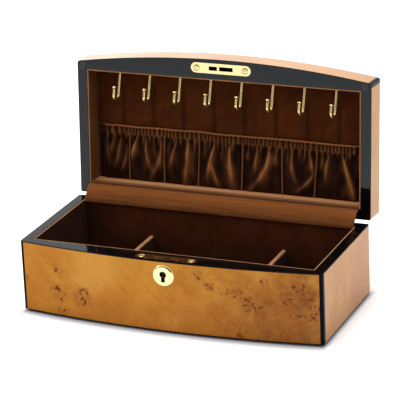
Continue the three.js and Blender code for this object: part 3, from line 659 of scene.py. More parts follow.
# Which outer faces of the ring are veneered on each side; n is the face's normal and at its middle
PANELS = {
    "front": lambda n, at: (
        n.y < -0.9 and at.y < INNER_FRONT - MM and abs(at.x) < RIGHT - FRONT_POST),
    "back": lambda n, at: n.y > 0.9 and at.y > INNER_BACK + MM and abs(at.x) < RIGHT - CORNER,
    "left": lambda n, at: n.x < -0.7 and at.x < -INNER_X - MM and beside_post(at),
    "right": lambda n, at: n.x > 0.7 and at.x > INNER_X + MM and beside_post(at),
}


def lift_panels(ring, prefix, low, high):
    """Take each veneer panel off the ring, and press the ring in under it."""
    panels = {}
    for side, on_side in PANELS.items():
        def wanted(face):
            at = face.calc_center_median()
            return low < at.z < high and on_side(face.normal, at)
        mesh = edit(ring)
        select(mesh, mesh.faces, wanted)
        bpy.ops.mesh.duplicate()
        bpy.ops.mesh.separate(type="SELECTED")
        leave()
        panel = next(o for o in bpy.context.selected_objects if o != ring)
        panel.name = f"{prefix}_{side}_burl"
        mesh = edit(ring)
        select(mesh, mesh.faces, wanted)
        bpy.ops.mesh.extrude_region_shrink_fatten(
            TRANSFORM_OT_shrink_fatten={"value": -VENEER - SEAM})
        leave()
        panels[side] = modify(panel, "SOLIDIFY", thickness=VENEER, offset=-1)
    return panels


def polish(piece, angle=40):
    """Smooth shading that keeps the flat faces and the edges sharper than an angle in degrees."""
    choose(piece)
    bpy.ops.object.shade_smooth_by_angle(angle=math.radians(angle))
    return modify(piece, "WEIGHTED_NORMAL", keep_sharp=True, weight=100)


def round_edges(piece, width, segments=2, angle=40):
    return modify(piece, "BEVEL", width=width, segments=segments, limit_method="ANGLE",
                  angle_limit=math.radians(angle))


def cavity(low, high, grow=0.0):
    return block("cavity", (-INNER_X - grow, INNER_FRONT - grow, low),
                 (INNER_X + grow, INNER_BACK + grow, high))


# %% Base frame and its veneer
FLOOR_RABBET = 4 * MM
FLOOR_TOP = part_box("base_floor_panel")[1].z + SEAM

base_frame = bowed_block("base_frame", BOTTOM, RIM)
ring_edges(base_frame, BOTTOM + BOTTOM_LINE, RIM - RIM_LINE)
cut(base_frame, cavity(BOTTOM - MM, RIM + MM), cavity(BOTTOM - MM, FLOOR_TOP, FLOOR_RABBET))
round_edges(base_frame, FRAME_EDGE)
base_panels = lift_panels(base_frame, "base", BOTTOM + BOTTOM_LINE, RIM - RIM_LINE)
print("base frame:", len(base_frame.data.polygons), "faces; panels:", sorted(base_panels))

# %% Lid frame and its veneer
PANEL_TOP = LID_BOARD_TOP - FRAME_EDGE - SEAM

lid_frame = bowed_block("lid_frame", LID_RIM, LID_BOARD_TOP)
ring_edges(lid_frame, LID_RIM + RIM_LINE)
cut(lid_frame, cavity(LID_RIM - MM, LID_PAD_TOP + SEAM))
round_edges(lid_frame, FRAME_EDGE)
slice_at(lid_frame, 2, [PANEL_TOP])
lid_panels = lift_panels(lid_frame, "lid", LID_RIM + RIM_LINE, PANEL_TOP)
print("lid frame:", len(lid_frame.data.polygons), "faces; panels:", sorted(lid_panels))

# %% [markdown]
# The top of the lid is one sheet of veneer that laps all the edges, with its own edge rounded
# over.

# %% Lid top
LID_TOP_EDGE = 0.7 * MM

lid_top = bowed_block("lid_top_burl", LID_BOARD_TOP + SEAM, LID_TOP)
bow_out(lid_top)
mesh = edit(lid_top, "EDGE")
select(mesh, mesh.edges,
       lambda e: e.calc_face_angle(0) > 1 and min(v.co.z for v in e.verts) > LID_TOP - SEAM)
bpy.ops.mesh.bevel(offset=LID_TOP_EDGE, segments=4, affect="EDGES")
leave()

# %% [markdown]
# ## Room for the lock and the hinges
# The brass plates, the keyhole and the hinge leaves are let into the wood. Each recess is a
# Boolean cut with a tool a hair larger than the piece that goes in.

# %% Lock sizes
PLATE_LOW, PLATE_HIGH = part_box("lock_selvage")
LOCK_Y = (PLATE_LOW.y + PLATE_HIGH.y) / 2
PLATE_LENGTH = PLATE_HIGH.x - PLATE_LOW.x
PLATE_WIDTH = PLATE_HIGH.y - PLATE_LOW.y
PLATE = PLATE_HIGH.z - PLATE_LOW.z
PLATE_SLOTS = ((-12.2 * MM, -3.8 * MM), (-1.6 * MM, 12.2 * MM))
PLATE_SLOT_WIDTH = 3.9 * MM
PLATE_END_SEGMENTS = 14
SCREW_FROM_CENTRE = 24.7 * MM
SCREW_HEAD = 2.7 * MM
SCREW_SHANK = 1.3 * MM
SCREW_LENGTH = 7 * MM
SCREW_GAP = 0.15 * MM
SCREW_RIM = 0.34 * MM
SCREW_SINK = 0.95 * MM
SCREW_RING = 0.5 * MM
HINGE_MORTISE = 1.3 * MM
BOLT_ROOM = (-12.3 * MM, 15.5 * MM)
BOLT_ROOM_DEPTH = 8 * MM
KEYHOLE = 3.35 * MM
KEYHOLE_Z = 58.1 * MM
KEYHOLE_DROP = 7.3 * MM
KEYHOLE_SLOT = 1.7 * MM
KEYHOLE_FLARE = 1.27
KEYHOLE_ROOM = 0.6 * MM


def round_ended(name, low, high, grow=0.0):
    """A plate with half-round ends, a hair less than half its width so that they don't meet."""
    half_length, half_width = PLATE_LENGTH / 2 + grow, PLATE_WIDTH / 2 + grow
    plate = block(name, (-half_length, LOCK_Y - half_width, low),
                  (half_length, LOCK_Y + half_width, high))
    return round_corners(plate, half_width * 0.998, PLATE_END_SEGMENTS)


def slot_tool(name, start, end, low, high):
    """A cutter as wide as the plates' slots."""
    return block(name, (start, LOCK_Y - PLATE_SLOT_WIDTH / 2, low),
                 (end, LOCK_Y + PLATE_SLOT_WIDTH / 2, high))


def keyhole_tools(front, back, grow=0.0):
    """A round hole and the flared slot below it, as two cutting tools."""
    hole = rod("hole", KEYHOLE + grow, (0, front, KEYHOLE_Z), (0, back, KEYHOLE_Z), 48)
    half, low = KEYHOLE_SLOT + grow, KEYHOLE_Z - KEYHOLE_DROP - grow
    slot = block("slot", (-half, front, low), (half, back, KEYHOLE_Z))
    mesh = edit(slot, "VERT")
    select(mesh, mesh.verts, lambda v: v.co.z < KEYHOLE_Z - MM)
    bpy.ops.transform.resize(value=(KEYHOLE_FLARE, 1, 1), center_override=(0, 0, 0))
    leave()
    return hole, slot


# %% Cut the recesses
for side in ("left", "right"):
    low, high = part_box(f"hinge_{side}_base_leaf")
    for frame_piece, panels, deep, shallow in (
            (base_frame, base_panels, RIM - HINGE_MORTISE, RIM + MM),
            (lid_frame, lid_panels, LID_RIM - MM, LID_RIM + HINGE_MORTISE)):
        for piece in (frame_piece, panels["back"]):
            cut(piece, block("mortise", (low.x - SEAM, low.y - SEAM, deep),
                             (high.x + SEAM, BACK + MM, shallow)))

case_low, case_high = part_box("lock_case")
cut(base_frame,
    round_ended("room", RIM - PLATE - SEAM, RIM + MM, SEAM),
    block("room", [v - SEAM for v in case_low],
          (case_high.x + SEAM, case_high.y + SEAM, RIM - PLATE)),
    *keyhole_tools(FRONT - MM, LOCK_Y, KEYHOLE_ROOM))
cut(lid_frame,
    round_ended("room", LID_RIM - MM, LID_RIM + PLATE + SEAM, SEAM),
    slot_tool("bolt_room", *BOLT_ROOM, LID_RIM, LID_RIM + BOLT_ROOM_DEPTH))
pilot_depth = SCREW_LENGTH + 2 * SCREW_GAP
for x in (-SCREW_FROM_CENTRE, SCREW_FROM_CENTRE):
    for piece, low, high in ((base_frame, RIM - pilot_depth, RIM),
                             (lid_frame, LID_RIM, LID_RIM + pilot_depth)):
        cut(piece, rod("pilot", SCREW_SHANK + SCREW_GAP, (x, LOCK_Y, low), (x, LOCK_Y, high), 24))

ESCUTCHEON_LOW, ESCUTCHEON_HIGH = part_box("lock_escutcheon")
ESCUTCHEON_Z = (ESCUTCHEON_LOW.z + ESCUTCHEON_HIGH.z) / 2
ESCUTCHEON = ESCUTCHEON_HIGH.x
ESCUTCHEON_SIDES = 96
cut(base_panels["front"], rod("seat", ESCUTCHEON + SEAM, (0, FRONT - MM, ESCUTCHEON_Z),
                              (0, FRONT + 2 * MM, ESCUTCHEON_Z), ESCUTCHEON_SIDES))

# %% Dress the frames and the veneer
WALLS = ("front", "back", "left", "right")


def mark_sides(ring):
    """The faces of the rim keep the first finish, and the upright ones get the second, the weaker mirror that
    paints their shade.
    """
    ring.data.polygons.foreach_set(
        "material_index", [int(abs(face.normal.z) < 0.5) for face in ring.data.polygons])


for ring in (base_frame, lid_frame):
    polish(ring)
    mark_sides(ring)
dress(base_frame, (SHADED_RIM_LACQUER, SHADED_SIDE_LACQUER), "base", "black_lacquer",
      *[f"base_{side}_wall" for side in WALLS])
dress(lid_frame, (LACQUER, SHADED_SIDE_LACQUER), "lid", "black_lacquer",
      *[f"lid_{side}_wall" for side in WALLS], "lid_top_panel")
SHEETS = {"back": BURL, "left": SHADED_SIDE_BURL, "right": SHADED_SIDE_BURL}
for body, panels, front_sheet in (
        ("base", base_panels, FRONT_BURL), ("lid", lid_panels, SHADED_LID_FRONT_BURL)):
    for side, panel in panels.items():
        polish(panel)
        dress(panel, SHEETS.get(side, front_sheet), body, "burl_veneer", f"{body}_{side}_veneer")
polish(lid_top, angle=60)
dress(lid_top, BURL, "lid", "burl_veneer", "lid_top_veneer")

# %% [markdown]
# ## Turned pieces
# Feet, bumpers, screws, the escutcheon and the hooks' knobs and collars are all round. A disc is
# extruded and resized from one ring of a drawn profile to the next, the way a turner works along
# a blank.

# %% Turned helper
def turned(name, profile, sides=48):
    """A round piece from its (radius, height) profile, standing on the z axis."""
    radius, height = profile[0]
    piece = add(name, bpy.ops.mesh.primitive_circle_add, vertices=sides, radius=radius,
                fill_type="NGON", location=(0, 0, height))
    bpy.ops.object.mode_set(mode="EDIT")
    for (last, low), (radius, high) in zip(profile, profile[1:]):
        bpy.ops.mesh.extrude_region_move(TRANSFORM_OT_translate={"value": (0, 0, high - low)})
        bpy.ops.transform.resize(value=(radius / last, radius / last, 1))
    face_out()
    leave()
    return settle(piece)


def in_mm(profile):
    """A profile that was written in millimetres."""
    return [(radius * MM, height * MM) for radius, height in profile]


def copy_of(piece, name, matrix):
    """A copy with its own mesh, moved by a matrix."""
    twin = piece.copy()
    twin.data = piece.data.copy()
    twin.name = name
    bpy.context.collection.objects.link(twin)
    twin.data.transform(matrix)
    return twin


# %% Feet and rim bumpers
FOOT_PROFILE = ((5.2, 0), (5.75, 0.25), (6, 0.7), (6, 2.1))
BUMPER_PROFILE = ((2.9, -0.8), (3.3, -0.65), (3.5, -0.35), (3.5, 0))
BUMPER_X, BUMPER_Y = RIGHT - 6 * MM, SIDE_FRONT + 4.5 * MM

foot = turned("foot", in_mm(FOOT_PROFILE))
polish(foot)
for end in ("front", "back"):
    for side in ("left", "right"):
        node = f"foot_{end}_{side}"
        low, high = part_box(node)
        middle = (low + high) / 2
        pad = copy_of(foot, f"{node}_pad", Matrix.Translation((middle.x, middle.y, 0)))
        dress(pad, RUBBER, "base", "black_rubber", node)
bpy.data.objects.remove(foot)

bumper = turned("bumper", in_mm(BUMPER_PROFILE))
polish(bumper)
for side, x in (("left", -BUMPER_X), ("right", BUMPER_X)):
    dot = copy_of(bumper, f"bumper_{side}_dot", Matrix.Translation((x, BUMPER_Y, LID_RIM)))
    dress(dot, RUBBER, "lid", "black_rubber", f"bumper_{side}")
bpy.data.objects.remove(bumper)

# %% [markdown]
# ## Lock plates, screws and escutcheon
# The selvage plate lies flush in the base's rim and the strike plate in the lid's. Both are
# round-ended, with two slots for the bolt's hooks and two countersunk holes. The screws have a
# cross recess.

# %% Lock plates
PLATE_EDGE = 0.24 * MM
SLOT_CORNER = 0.4 * MM


def lock_plate(name, low, face):
    """face is the height of the side that shows: the upper in the base, the lower in the lid."""
    plate = round_ended(name, low, low + PLATE)
    for start, end in PLATE_SLOTS:
        tool = slot_tool("slot", start, end, low - MM, low + PLATE + MM)
        cut(plate, round_corners(tool, SLOT_CORNER, 3))
    bore = SCREW_SHANK + SCREW_GAP
    for x in (-SCREW_FROM_CENTRE, SCREW_FROM_CENTRE):
        sink = turned("sink", [
            (bore, -2 * PLATE), (bore, -PLATE),
            (SCREW_HEAD + SCREW_RING * 0.8, -SCREW_SINK), (SCREW_HEAD + SCREW_RING, PLATE)])
        flip = Matrix.Rotation(0 if face > low else math.pi, 4, "X")
        sink.data.transform(Matrix.Translation((x, LOCK_Y, face)) @ flip)
        cut(plate, sink)
    return polish(round_edges(plate, PLATE_EDGE))


selvage = lock_plate("selvage_brass", RIM - PLATE, RIM)
dress(selvage, BRASS, "base", "brass", "lock_selvage")
strike = lock_plate("strike_brass", LID_RIM, LID_RIM)
dress(strike, BRASS, "lid", "brass", "strike_plate")

# %% Screws
CROSS_LENGTH, CROSS_WIDTH, CROSS_DEPTH = 1.5 * MM, 0.36 * MM, 0.9 * MM
SCREW_EDGE = 0.08 * MM

screw = turned("screw", [
    (SCREW_SHANK, -SCREW_LENGTH), (SCREW_SHANK, -PLATE), (SCREW_HEAD, -SCREW_RIM),
    (SCREW_HEAD, -0.24 * MM), (SCREW_HEAD * 0.85, -0.1 * MM), (SCREW_HEAD * 0.6, -0.02 * MM),
    (SCREW_HEAD * 0.4, 0)], sides=40)
for turn in (0, math.pi / 2):
    blade = block("blade", (-CROSS_LENGTH, -CROSS_WIDTH, -CROSS_DEPTH),
                  (CROSS_LENGTH, CROSS_WIDTH, MM))
    blade.data.transform(Matrix.Rotation(turn, 4, "Z"))
    cut(screw, blade)
polish(round_edges(screw, SCREW_EDGE))
for number, x, turn in ((1, -SCREW_FROM_CENTRE, 0.45), (2, SCREW_FROM_CENTRE, -0.6)):
    for body, node, z, flip in (("base", f"selvage_screw_{number}", RIM, 0),
                                ("lid", f"strike_screw_{number}", LID_RIM, math.pi)):
        stance = (Matrix.Translation((x, LOCK_Y, z)) @ Matrix.Rotation(flip, 4, "X")
                  @ Matrix.Rotation(turn, 4, "Z"))
        head = copy_of(screw, f"{node}_brass", stance)
        dress(head, BRASS, body, "brass", node)
bpy.data.objects.remove(screw)

# %% [markdown]
# The escutcheon is a thick brass disc with a flat face and a broad sloping border. The face
# mirrors the white table, and at the upper right its border mirrors the dark of the room behind
# the camera.

# %% Escutcheon
PROUD = FRONT - ESCUTCHEON_LOW.y
# From the outer edge: how far inward in mm, and what share of the height that stands proud
BORDER = ((0, 0.05), (0.38, 0.42), (1.81, 1), (4, 1))
print("escutcheon stands proud by", round(PROUD / MM, 2), "mm")
escutcheon = turned("escutcheon_brass", [(ESCUTCHEON, FRONT - ESCUTCHEON_HIGH.y)] + [
    (ESCUTCHEON - inward * MM, PROUD * height) for inward, height in BORDER], ESCUTCHEON_SIDES)
escutcheon.data.transform(
    Matrix.Translation((0, FRONT, ESCUTCHEON_Z)) @ Matrix.Rotation(math.pi / 2, 4, "X"))
cut(escutcheon, *keyhole_tools(ESCUTCHEON_LOW.y - MM, ESCUTCHEON_HIGH.y + MM))
polish(escutcheon, angle=11)
dress(escutcheon, BRASS, "base", "brass", "lock_escutcheon")

# %% [markdown]
# ## Necklace hooks
# A hook is one brass wire: straight down, round a half circle and up again, with a flat-headed
# knob on its tip and a collar where it enters the lining. Extrude makes the straight runs and
# Spin the bend. The eight are copies, set in a row through the velvet under the lid's front
# wall, all leaning a little and turned a little sideways.

# %% Hooks
HOOK_WIRE = 1.25 * MM
HOOK_STEM = 24.4 * MM
HOOK_BEND = 4.25 * MM
HOOK_TIP = 6 * MM
HOOK_FROM_RIM = 15.5 * MM
HOOK_GAP = 0.45 * MM
HOOK_COUNT = 8
HOOK_SIDES = 24
HOOK_BEND_STEPS = 18
HOOK_TURN = math.radians(-99)
HOOK_LEAN = math.radians(-9.8)
KNOB_PROFILE = ((2.05, -0.3), (2.25, 0.2), (2.1, 0.75), (1.55, 1.2), (0.65, 1.45))
COLLAR_PROFILE = ((1.5, -1.2), (2.0, -0.9), (2.1, -0.5), (2.1, 0), (0.8, 0.01), (0.8, 7))


def bent_wire():
    wire = add("wire", bpy.ops.mesh.primitive_circle_add, vertices=HOOK_SIDES,
               radius=HOOK_WIRE, fill_type="NGON")
    bpy.ops.object.mode_set(mode="EDIT")
    bpy.ops.mesh.extrude_region_move(TRANSFORM_OT_translate={"value": (0, 0, -HOOK_STEM)})
    bpy.ops.mesh.spin(steps=HOOK_BEND_STEPS, angle=math.pi, center=(HOOK_BEND, 0, -HOOK_STEM),
                      axis=(0, 1, 0))
    bpy.ops.mesh.extrude_region_move(TRANSFORM_OT_translate={"value": (0, 0, HOOK_TIP)})
    bpy.ops.mesh.select_all(action="SELECT")
    bpy.ops.mesh.remove_doubles(threshold=0.00001)
    face_out()
    leave()
    return wire


wire = bent_wire()
print("wire from", [round(v / MM, 1) for v in wire.bound_box[0]],
      "to", [round(v / MM, 1) for v in wire.bound_box[6]], "mm")
knob = turned("knob", [(HOOK_WIRE * 0.9, -1.2 * MM), (HOOK_WIRE * 1.25, -0.7 * MM),
                       *in_mm(KNOB_PROFILE)], HOOK_SIDES)
knob.data.transform(Matrix.Translation((2 * HOOK_BEND, 0, HOOK_TIP - HOOK_STEM + HOOK_WIRE)))
collar = turned("collar", [(HOOK_WIRE * 0.95, -1.3 * MM), *in_mm(COLLAR_PROFILE)], HOOK_SIDES)
hook = join("hook", knob, collar, wire)
polish(hook, angle=50)

stance = (Matrix.Rotation(math.pi / 2, 4, "X") @ Matrix.Rotation(HOOK_TURN, 4, "Z")
          @ Matrix.Rotation(HOOK_LEAN, 4, "Y"))
for i in range(HOOK_COUNT):
    place = ((i - (HOOK_COUNT - 1) / 2) * HOOK_SPACING,
             INNER_FRONT + SEAM + LINER + HOOK_GAP, LID_RIM + HOOK_FROM_RIM)
    copy = copy_of(hook, f"hook_{i + 1}_brass", Matrix.Translation(place) @ stance)
    dress(copy, WIRE_BRASS, "lid", "brass", f"necklace_hook_{i + 1}")
bpy.data.objects.remove(hook)

# %% [markdown]
# ## Velvet over board
# Base and lid are lined with thin boards wrapped in velvet, a little lower than the rim, so a
# line of pile shows along each board's rounded top edge, brightened by a painted highlight: the
# board's upward faces get a much lighter velvet. The dividers are wrapped the same way. The base's
# floor and the lid's panel are padded boards, crowned by a hair and softer at the edge.

# %% Wrapped boards
LINER_BELOW_RIM = 0.15 * MM
LINER_BELOW_PAD = 1.1 * MM
DIVIDER_EDGE = 1.7 * MM


def wrapped_board(name, low, high, radius, segments=4):
    """A board with all its edges rounded by its cloth. Its upward faces get the second finish, a painted
    highlight.
    """
    board = block(name, low, high)
    paint(board, VELVET, LIT_TOP_VELVET)
    edit(board, "EDGE")
    bpy.ops.mesh.select_all(action="SELECT")
    bpy.ops.mesh.bevel(offset=radius, segments=segments, affect="EDGES")
    leave()
    board.data.polygons.foreach_set(
        "material_index", [int(abs(face.normal.z) > 0.25) for face in board.data.polygons])
    return polish(board, angle=60)


def liner_boards(body, low_z, high_z, finishes):
    """Four boards round an opening: the end boards run through, the long ones fit between them."""
    left, right = LINER_LOW.x, LINER_HIGH.x
    front, back = LINER_LOW.y, LINER_HIGH.y
    corners = {
        "left": ((left, front), (left + LINER, back)),
        "right": ((right - LINER, front), (right, back)),
        "front": ((left + LINER, front), (right - LINER, front + LINER)),
        "back": ((left + LINER, back - LINER), (right - LINER, back)),
    }
    for side, (low, high) in corners.items():
        board = wrapped_board(
            f"{body}_{side}_liner", (*low, low_z), (*high, high_z), LINER * 0.42)
        dress(board, finishes[side], body, "velvet", f"{body}_wall_liner")


plain_board, dark_board = (VELVET, LIT_TOP_VELVET), (SHADED_BASE_VELVET, LIT_TOP_VELVET)
liner_boards("base", LINER_LOW.z, RIM - LINER_BELOW_RIM,
             {**dict.fromkeys(WALLS, dark_board), "back": (BACK_VELVET, LIT_TOP_VELVET)})
liner_boards("lid", LID_RIM + LINER_BELOW_RIM, LID_PAD_TOP - LINER_BELOW_PAD,
             {**dict.fromkeys(WALLS, plain_board), "back": (LIT_LEDGE_VELVET, LIT_LEDGE_VELVET)})

for side in ("left", "right"):
    low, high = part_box(f"divider_{side}")
    divider = wrapped_board(f"divider_{side}_velvet", low, high, DIVIDER_EDGE, segments=6)
    dress(divider, dark_board, "base", "velvet", f"divider_{side}")

# %% Padded floors
PAD_CELLS = (40, 18)
PAD_SOFT = 5 * MM
PAD_EDGE = 0.35 * MM


def padded_board(name, low, high, crown):
    """A board under a thin pad, highest in the middle and falling by crown at the edge. A crown
    below 0 is for a pad whose lower side shows."""
    pad = block(name, low, high)
    for axis, cells in enumerate(PAD_CELLS):
        size = high[axis] - low[axis]
        slice_at(pad, axis, [low[axis] + size * i / cells for i in range(1, cells)])
    half_x, half_y = (high[0] - low[0]) / 2, (high[1] - low[1]) / 2
    middle_y, middle_z = (high[1] + low[1]) / 2, (low[2] + high[2]) / 2
    for vertex in pad.data.vertices:
        from_edge = min(half_x - abs(vertex.co.x), half_y - abs(vertex.co.y - middle_y))
        fall = 1 - min(1, max(0, from_edge) / PAD_SOFT)
        if (vertex.co.z - middle_z) * crown > 0:
            vertex.co.z -= crown * fall ** 2
    return polish(round_edges(pad, PAD_EDGE, segments=3), angle=60)


base_pad = padded_board("base_floor_velvet", *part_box("base_floor_pad"), 0.7 * MM)
dress(base_pad, SHADED_BASE_VELVET, "base", "velvet", "base_floor_pad")
lid_pad = padded_board("lid_panel_velvet", (LINER_LOW.x, LINER_LOW.y, LID_PAD_TOP - MM),
                       (LINER_HIGH.x, LINER_HIGH.y, LID_PAD_TOP), -0.3 * MM)
dress(lid_pad, PANEL_VELVET, "lid", "velvet", "lid_panel_pad")

# %% [markdown]
# ## The gathered pocket
# Across the lower half of the lid runs a strip of velvet, much longer than the lid is wide,
# gathered on an elastic at the top and stitched down through six seams into seven pockets. The
# elastic puckers its band into small ruffles, and the loose cloth below it falls in folds. A
# cloth simulation would put its folds where it liked, and here they are wanted where the real
# ones hang, so the strip is a fine grid, moved in code: a swelling for each pocket, a sharp
# ridge at each seam, soft ridges along each fold's own line, the ruffles, and a little noise
# over all.

# %% Pocket folds
POCKET_LEFT, POCKET_RIGHT = (corner.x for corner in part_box("necklace_pocket"))
POCKET_WIDTH = POCKET_RIGHT - POCKET_LEFT
POCKET_MOUTH = (SIDE_FRONT + BACK) / 2 - 0.5 * MM
POCKET_FOOT = INNER_BACK - SEAM - LINER - 0.6 * MM
POCKET_HEIGHT = POCKET_FOOT - POCKET_MOUTH
POCKET_BACK = LID_PAD_TOP - 1.3 * MM
LEAST_STAND = 0.4 * MM
CLOTH_STAND = 2.1 * MM
BAND_STAND = 3.0 * MM
BAND_SHARE = 0.13
# Seams, as shares of the width at the band and at the foot
SEAMS = ((0, 0), (0.121, 0.116), (0.256, 0.252), (0.391, 0.383), (0.556, 0.548), (0.701, 0.701),
         (0.834, 0.82), (1, 1))
# Each fold: three (across, down) shares along its line, and its half width and its rise in mm
FOLDS = (
    ((0.030, 0.14), (0.034, 0.40), (0.040, 0.70), 1.6, 0.9),
    ((0.070, 0.13), (0.058, 0.27), (0.049, 0.52), 1.5, 1.3),
    ((0.087, 0.14), (0.080, 0.41), (0.066, 0.72), 1.5, 1.3),
    ((0.108, 0.36), (0.105, 0.58), (0.080, 0.86), 1.7, 1.2),
    ((0.158, 0.11), (0.143, 0.29), (0.126, 0.60), 1.5, 2.3),
    ((0.185, 0.14), (0.187, 0.47), (0.201, 0.74), 1.6, 1.7),
    ((0.212, 0.13), (0.214, 0.30), (0.220, 0.50), 1.2, 0.9),
    ((0.234, 0.10), (0.240, 0.45), (0.205, 0.88), 2.2, 1.7),
    ((0.282, 0.12), (0.275, 0.24), (0.268, 0.40), 1.1, 0.9),
    ((0.306, 0.11), (0.296, 0.30), (0.276, 0.68), 1.5, 1.8),
    ((0.346, 0.11), (0.345, 0.44), (0.333, 0.95), 2.2, 2.6),
    ((0.373, 0.12), (0.372, 0.26), (0.368, 0.42), 1.1, 0.9),
    ((0.425, 0.12), (0.417, 0.25), (0.412, 0.42), 1.2, 1.0),
    ((0.454, 0.12), (0.437, 0.40), (0.420, 0.82), 1.7, 2.3),
    ((0.438, 0.56), (0.448, 0.74), (0.464, 0.96), 1.6, 1.5),
    ((0.482, 0.12), (0.478, 0.26), (0.474, 0.44), 1.1, 0.9),
    ((0.506, 0.12), (0.508, 0.48), (0.520, 0.93), 2.3, 2.5),
    ((0.580, 0.12), (0.576, 0.24), (0.570, 0.42), 1.2, 1.1),
    ((0.611, 0.13), (0.607, 0.32), (0.600, 0.62), 1.6, 1.8),
    ((0.649, 0.10), (0.648, 0.45), (0.590, 0.92), 2.5, 2.5),
    ((0.678, 0.12), (0.680, 0.28), (0.682, 0.48), 1.2, 1.0),
    ((0.724, 0.12), (0.722, 0.24), (0.719, 0.42), 1.1, 1.0),
    ((0.745, 0.13), (0.739, 0.38), (0.752, 0.72), 1.6, 1.8),
    ((0.772, 0.12), (0.774, 0.24), (0.778, 0.38), 1.1, 0.8),
    ((0.799, 0.11), (0.807, 0.28), (0.816, 0.54), 1.4, 1.9),
    ((0.822, 0.54), (0.800, 0.72), (0.762, 0.90), 2.0, 1.6),
    ((0.853, 0.12), (0.850, 0.26), (0.846, 0.50), 1.3, 1.2),
    ((0.880, 0.11), (0.869, 0.35), (0.862, 0.70), 1.5, 1.6),
    ((0.918, 0.12), (0.943, 0.45), (0.970, 0.96), 1.9, 2.5),
    ((0.945, 0.12), (0.938, 0.22), (0.934, 0.34), 1.1, 1.3),
    ((0.975, 0.14), (0.983, 0.30), (0.990, 0.60), 1.3, 1.2),
)


def uneven(x, y, z):
    """A smooth noise between about -1 and 1."""
    return noise.noise(Vector((x, y, z)))


def share_of(value):
    """A value kept between 0 and 1."""
    return min(1, max(0, value))


def smooth(low, high, value):
    """0 at low, 1 at high and smooth between."""
    t = share_of((value - low) / (high - low))
    return t * t * (3 - 2 * t)


def fold_at(fold, across, down):
    """How far one fold lifts the cloth at a point, in metres, and how near its sharp back is."""
    (a0, d0), (a1, d1), (a2, d2), width, rise = fold
    if down < d0 - 0.06 or down > d2 + 0.12:
        return 0.0, 0.0
    t = (down - d0) / (d2 - d0)
    middle = (d1 - d0) / (d2 - d0)
    bend = (a1 - a0 - (a2 - a0) * middle) / (middle * (middle - 1))
    line = a0 + (a2 - a0) * t + bend * t * (t - 1)
    spread = 2.1 * width * MM * (0.34 + 0.86 * share_of(t))
    off = (across - line) * POCKET_WIDTH / spread
    off *= 1.6 if off * (a2 - a0) > 0 else 0.8
    fade = smooth(-0.1, 0.25, t) * smooth(1.3, 0.7, t)
    back = min(1, rise / 2) * fade * (1 - 0.6 * max(0, t)) * math.exp(-(3.2 * off) ** 2)
    return rise * MM * fade * math.exp(-abs(off) ** 1.6), back


def ruffle(across):
    """The elastic's puckers: uneven, about four millimetres apart."""
    drift = uneven(across * 13, 1.3, 0) * 1.6
    depth = 0.8 + 0.9 * uneven(across * 37, 8.3, 0)
    return depth * math.cos(2 * math.pi * (across * 66 + drift))


def gathers_below(across, down):
    """The short soft pleats that the elastic sends down into the cloth, from 0 to 1."""
    drift = uneven(across * 11, 5.7, 0) * 1.8
    reach = 0.36 + 0.3 * uneven(across * 19, 3.3, 0)
    pleat = math.cos(2 * math.pi * (across * 44 + drift + 0.8 * (down - 0.15)))
    return max(0, pleat) ** 1.5 * smooth(reach, 0.14, down) * smooth(0.1, 0.17, down)


def line_at(value, middle, width):
    """1 on a line and 0 away from it."""
    return math.exp(-((value - middle) / width) ** 2)


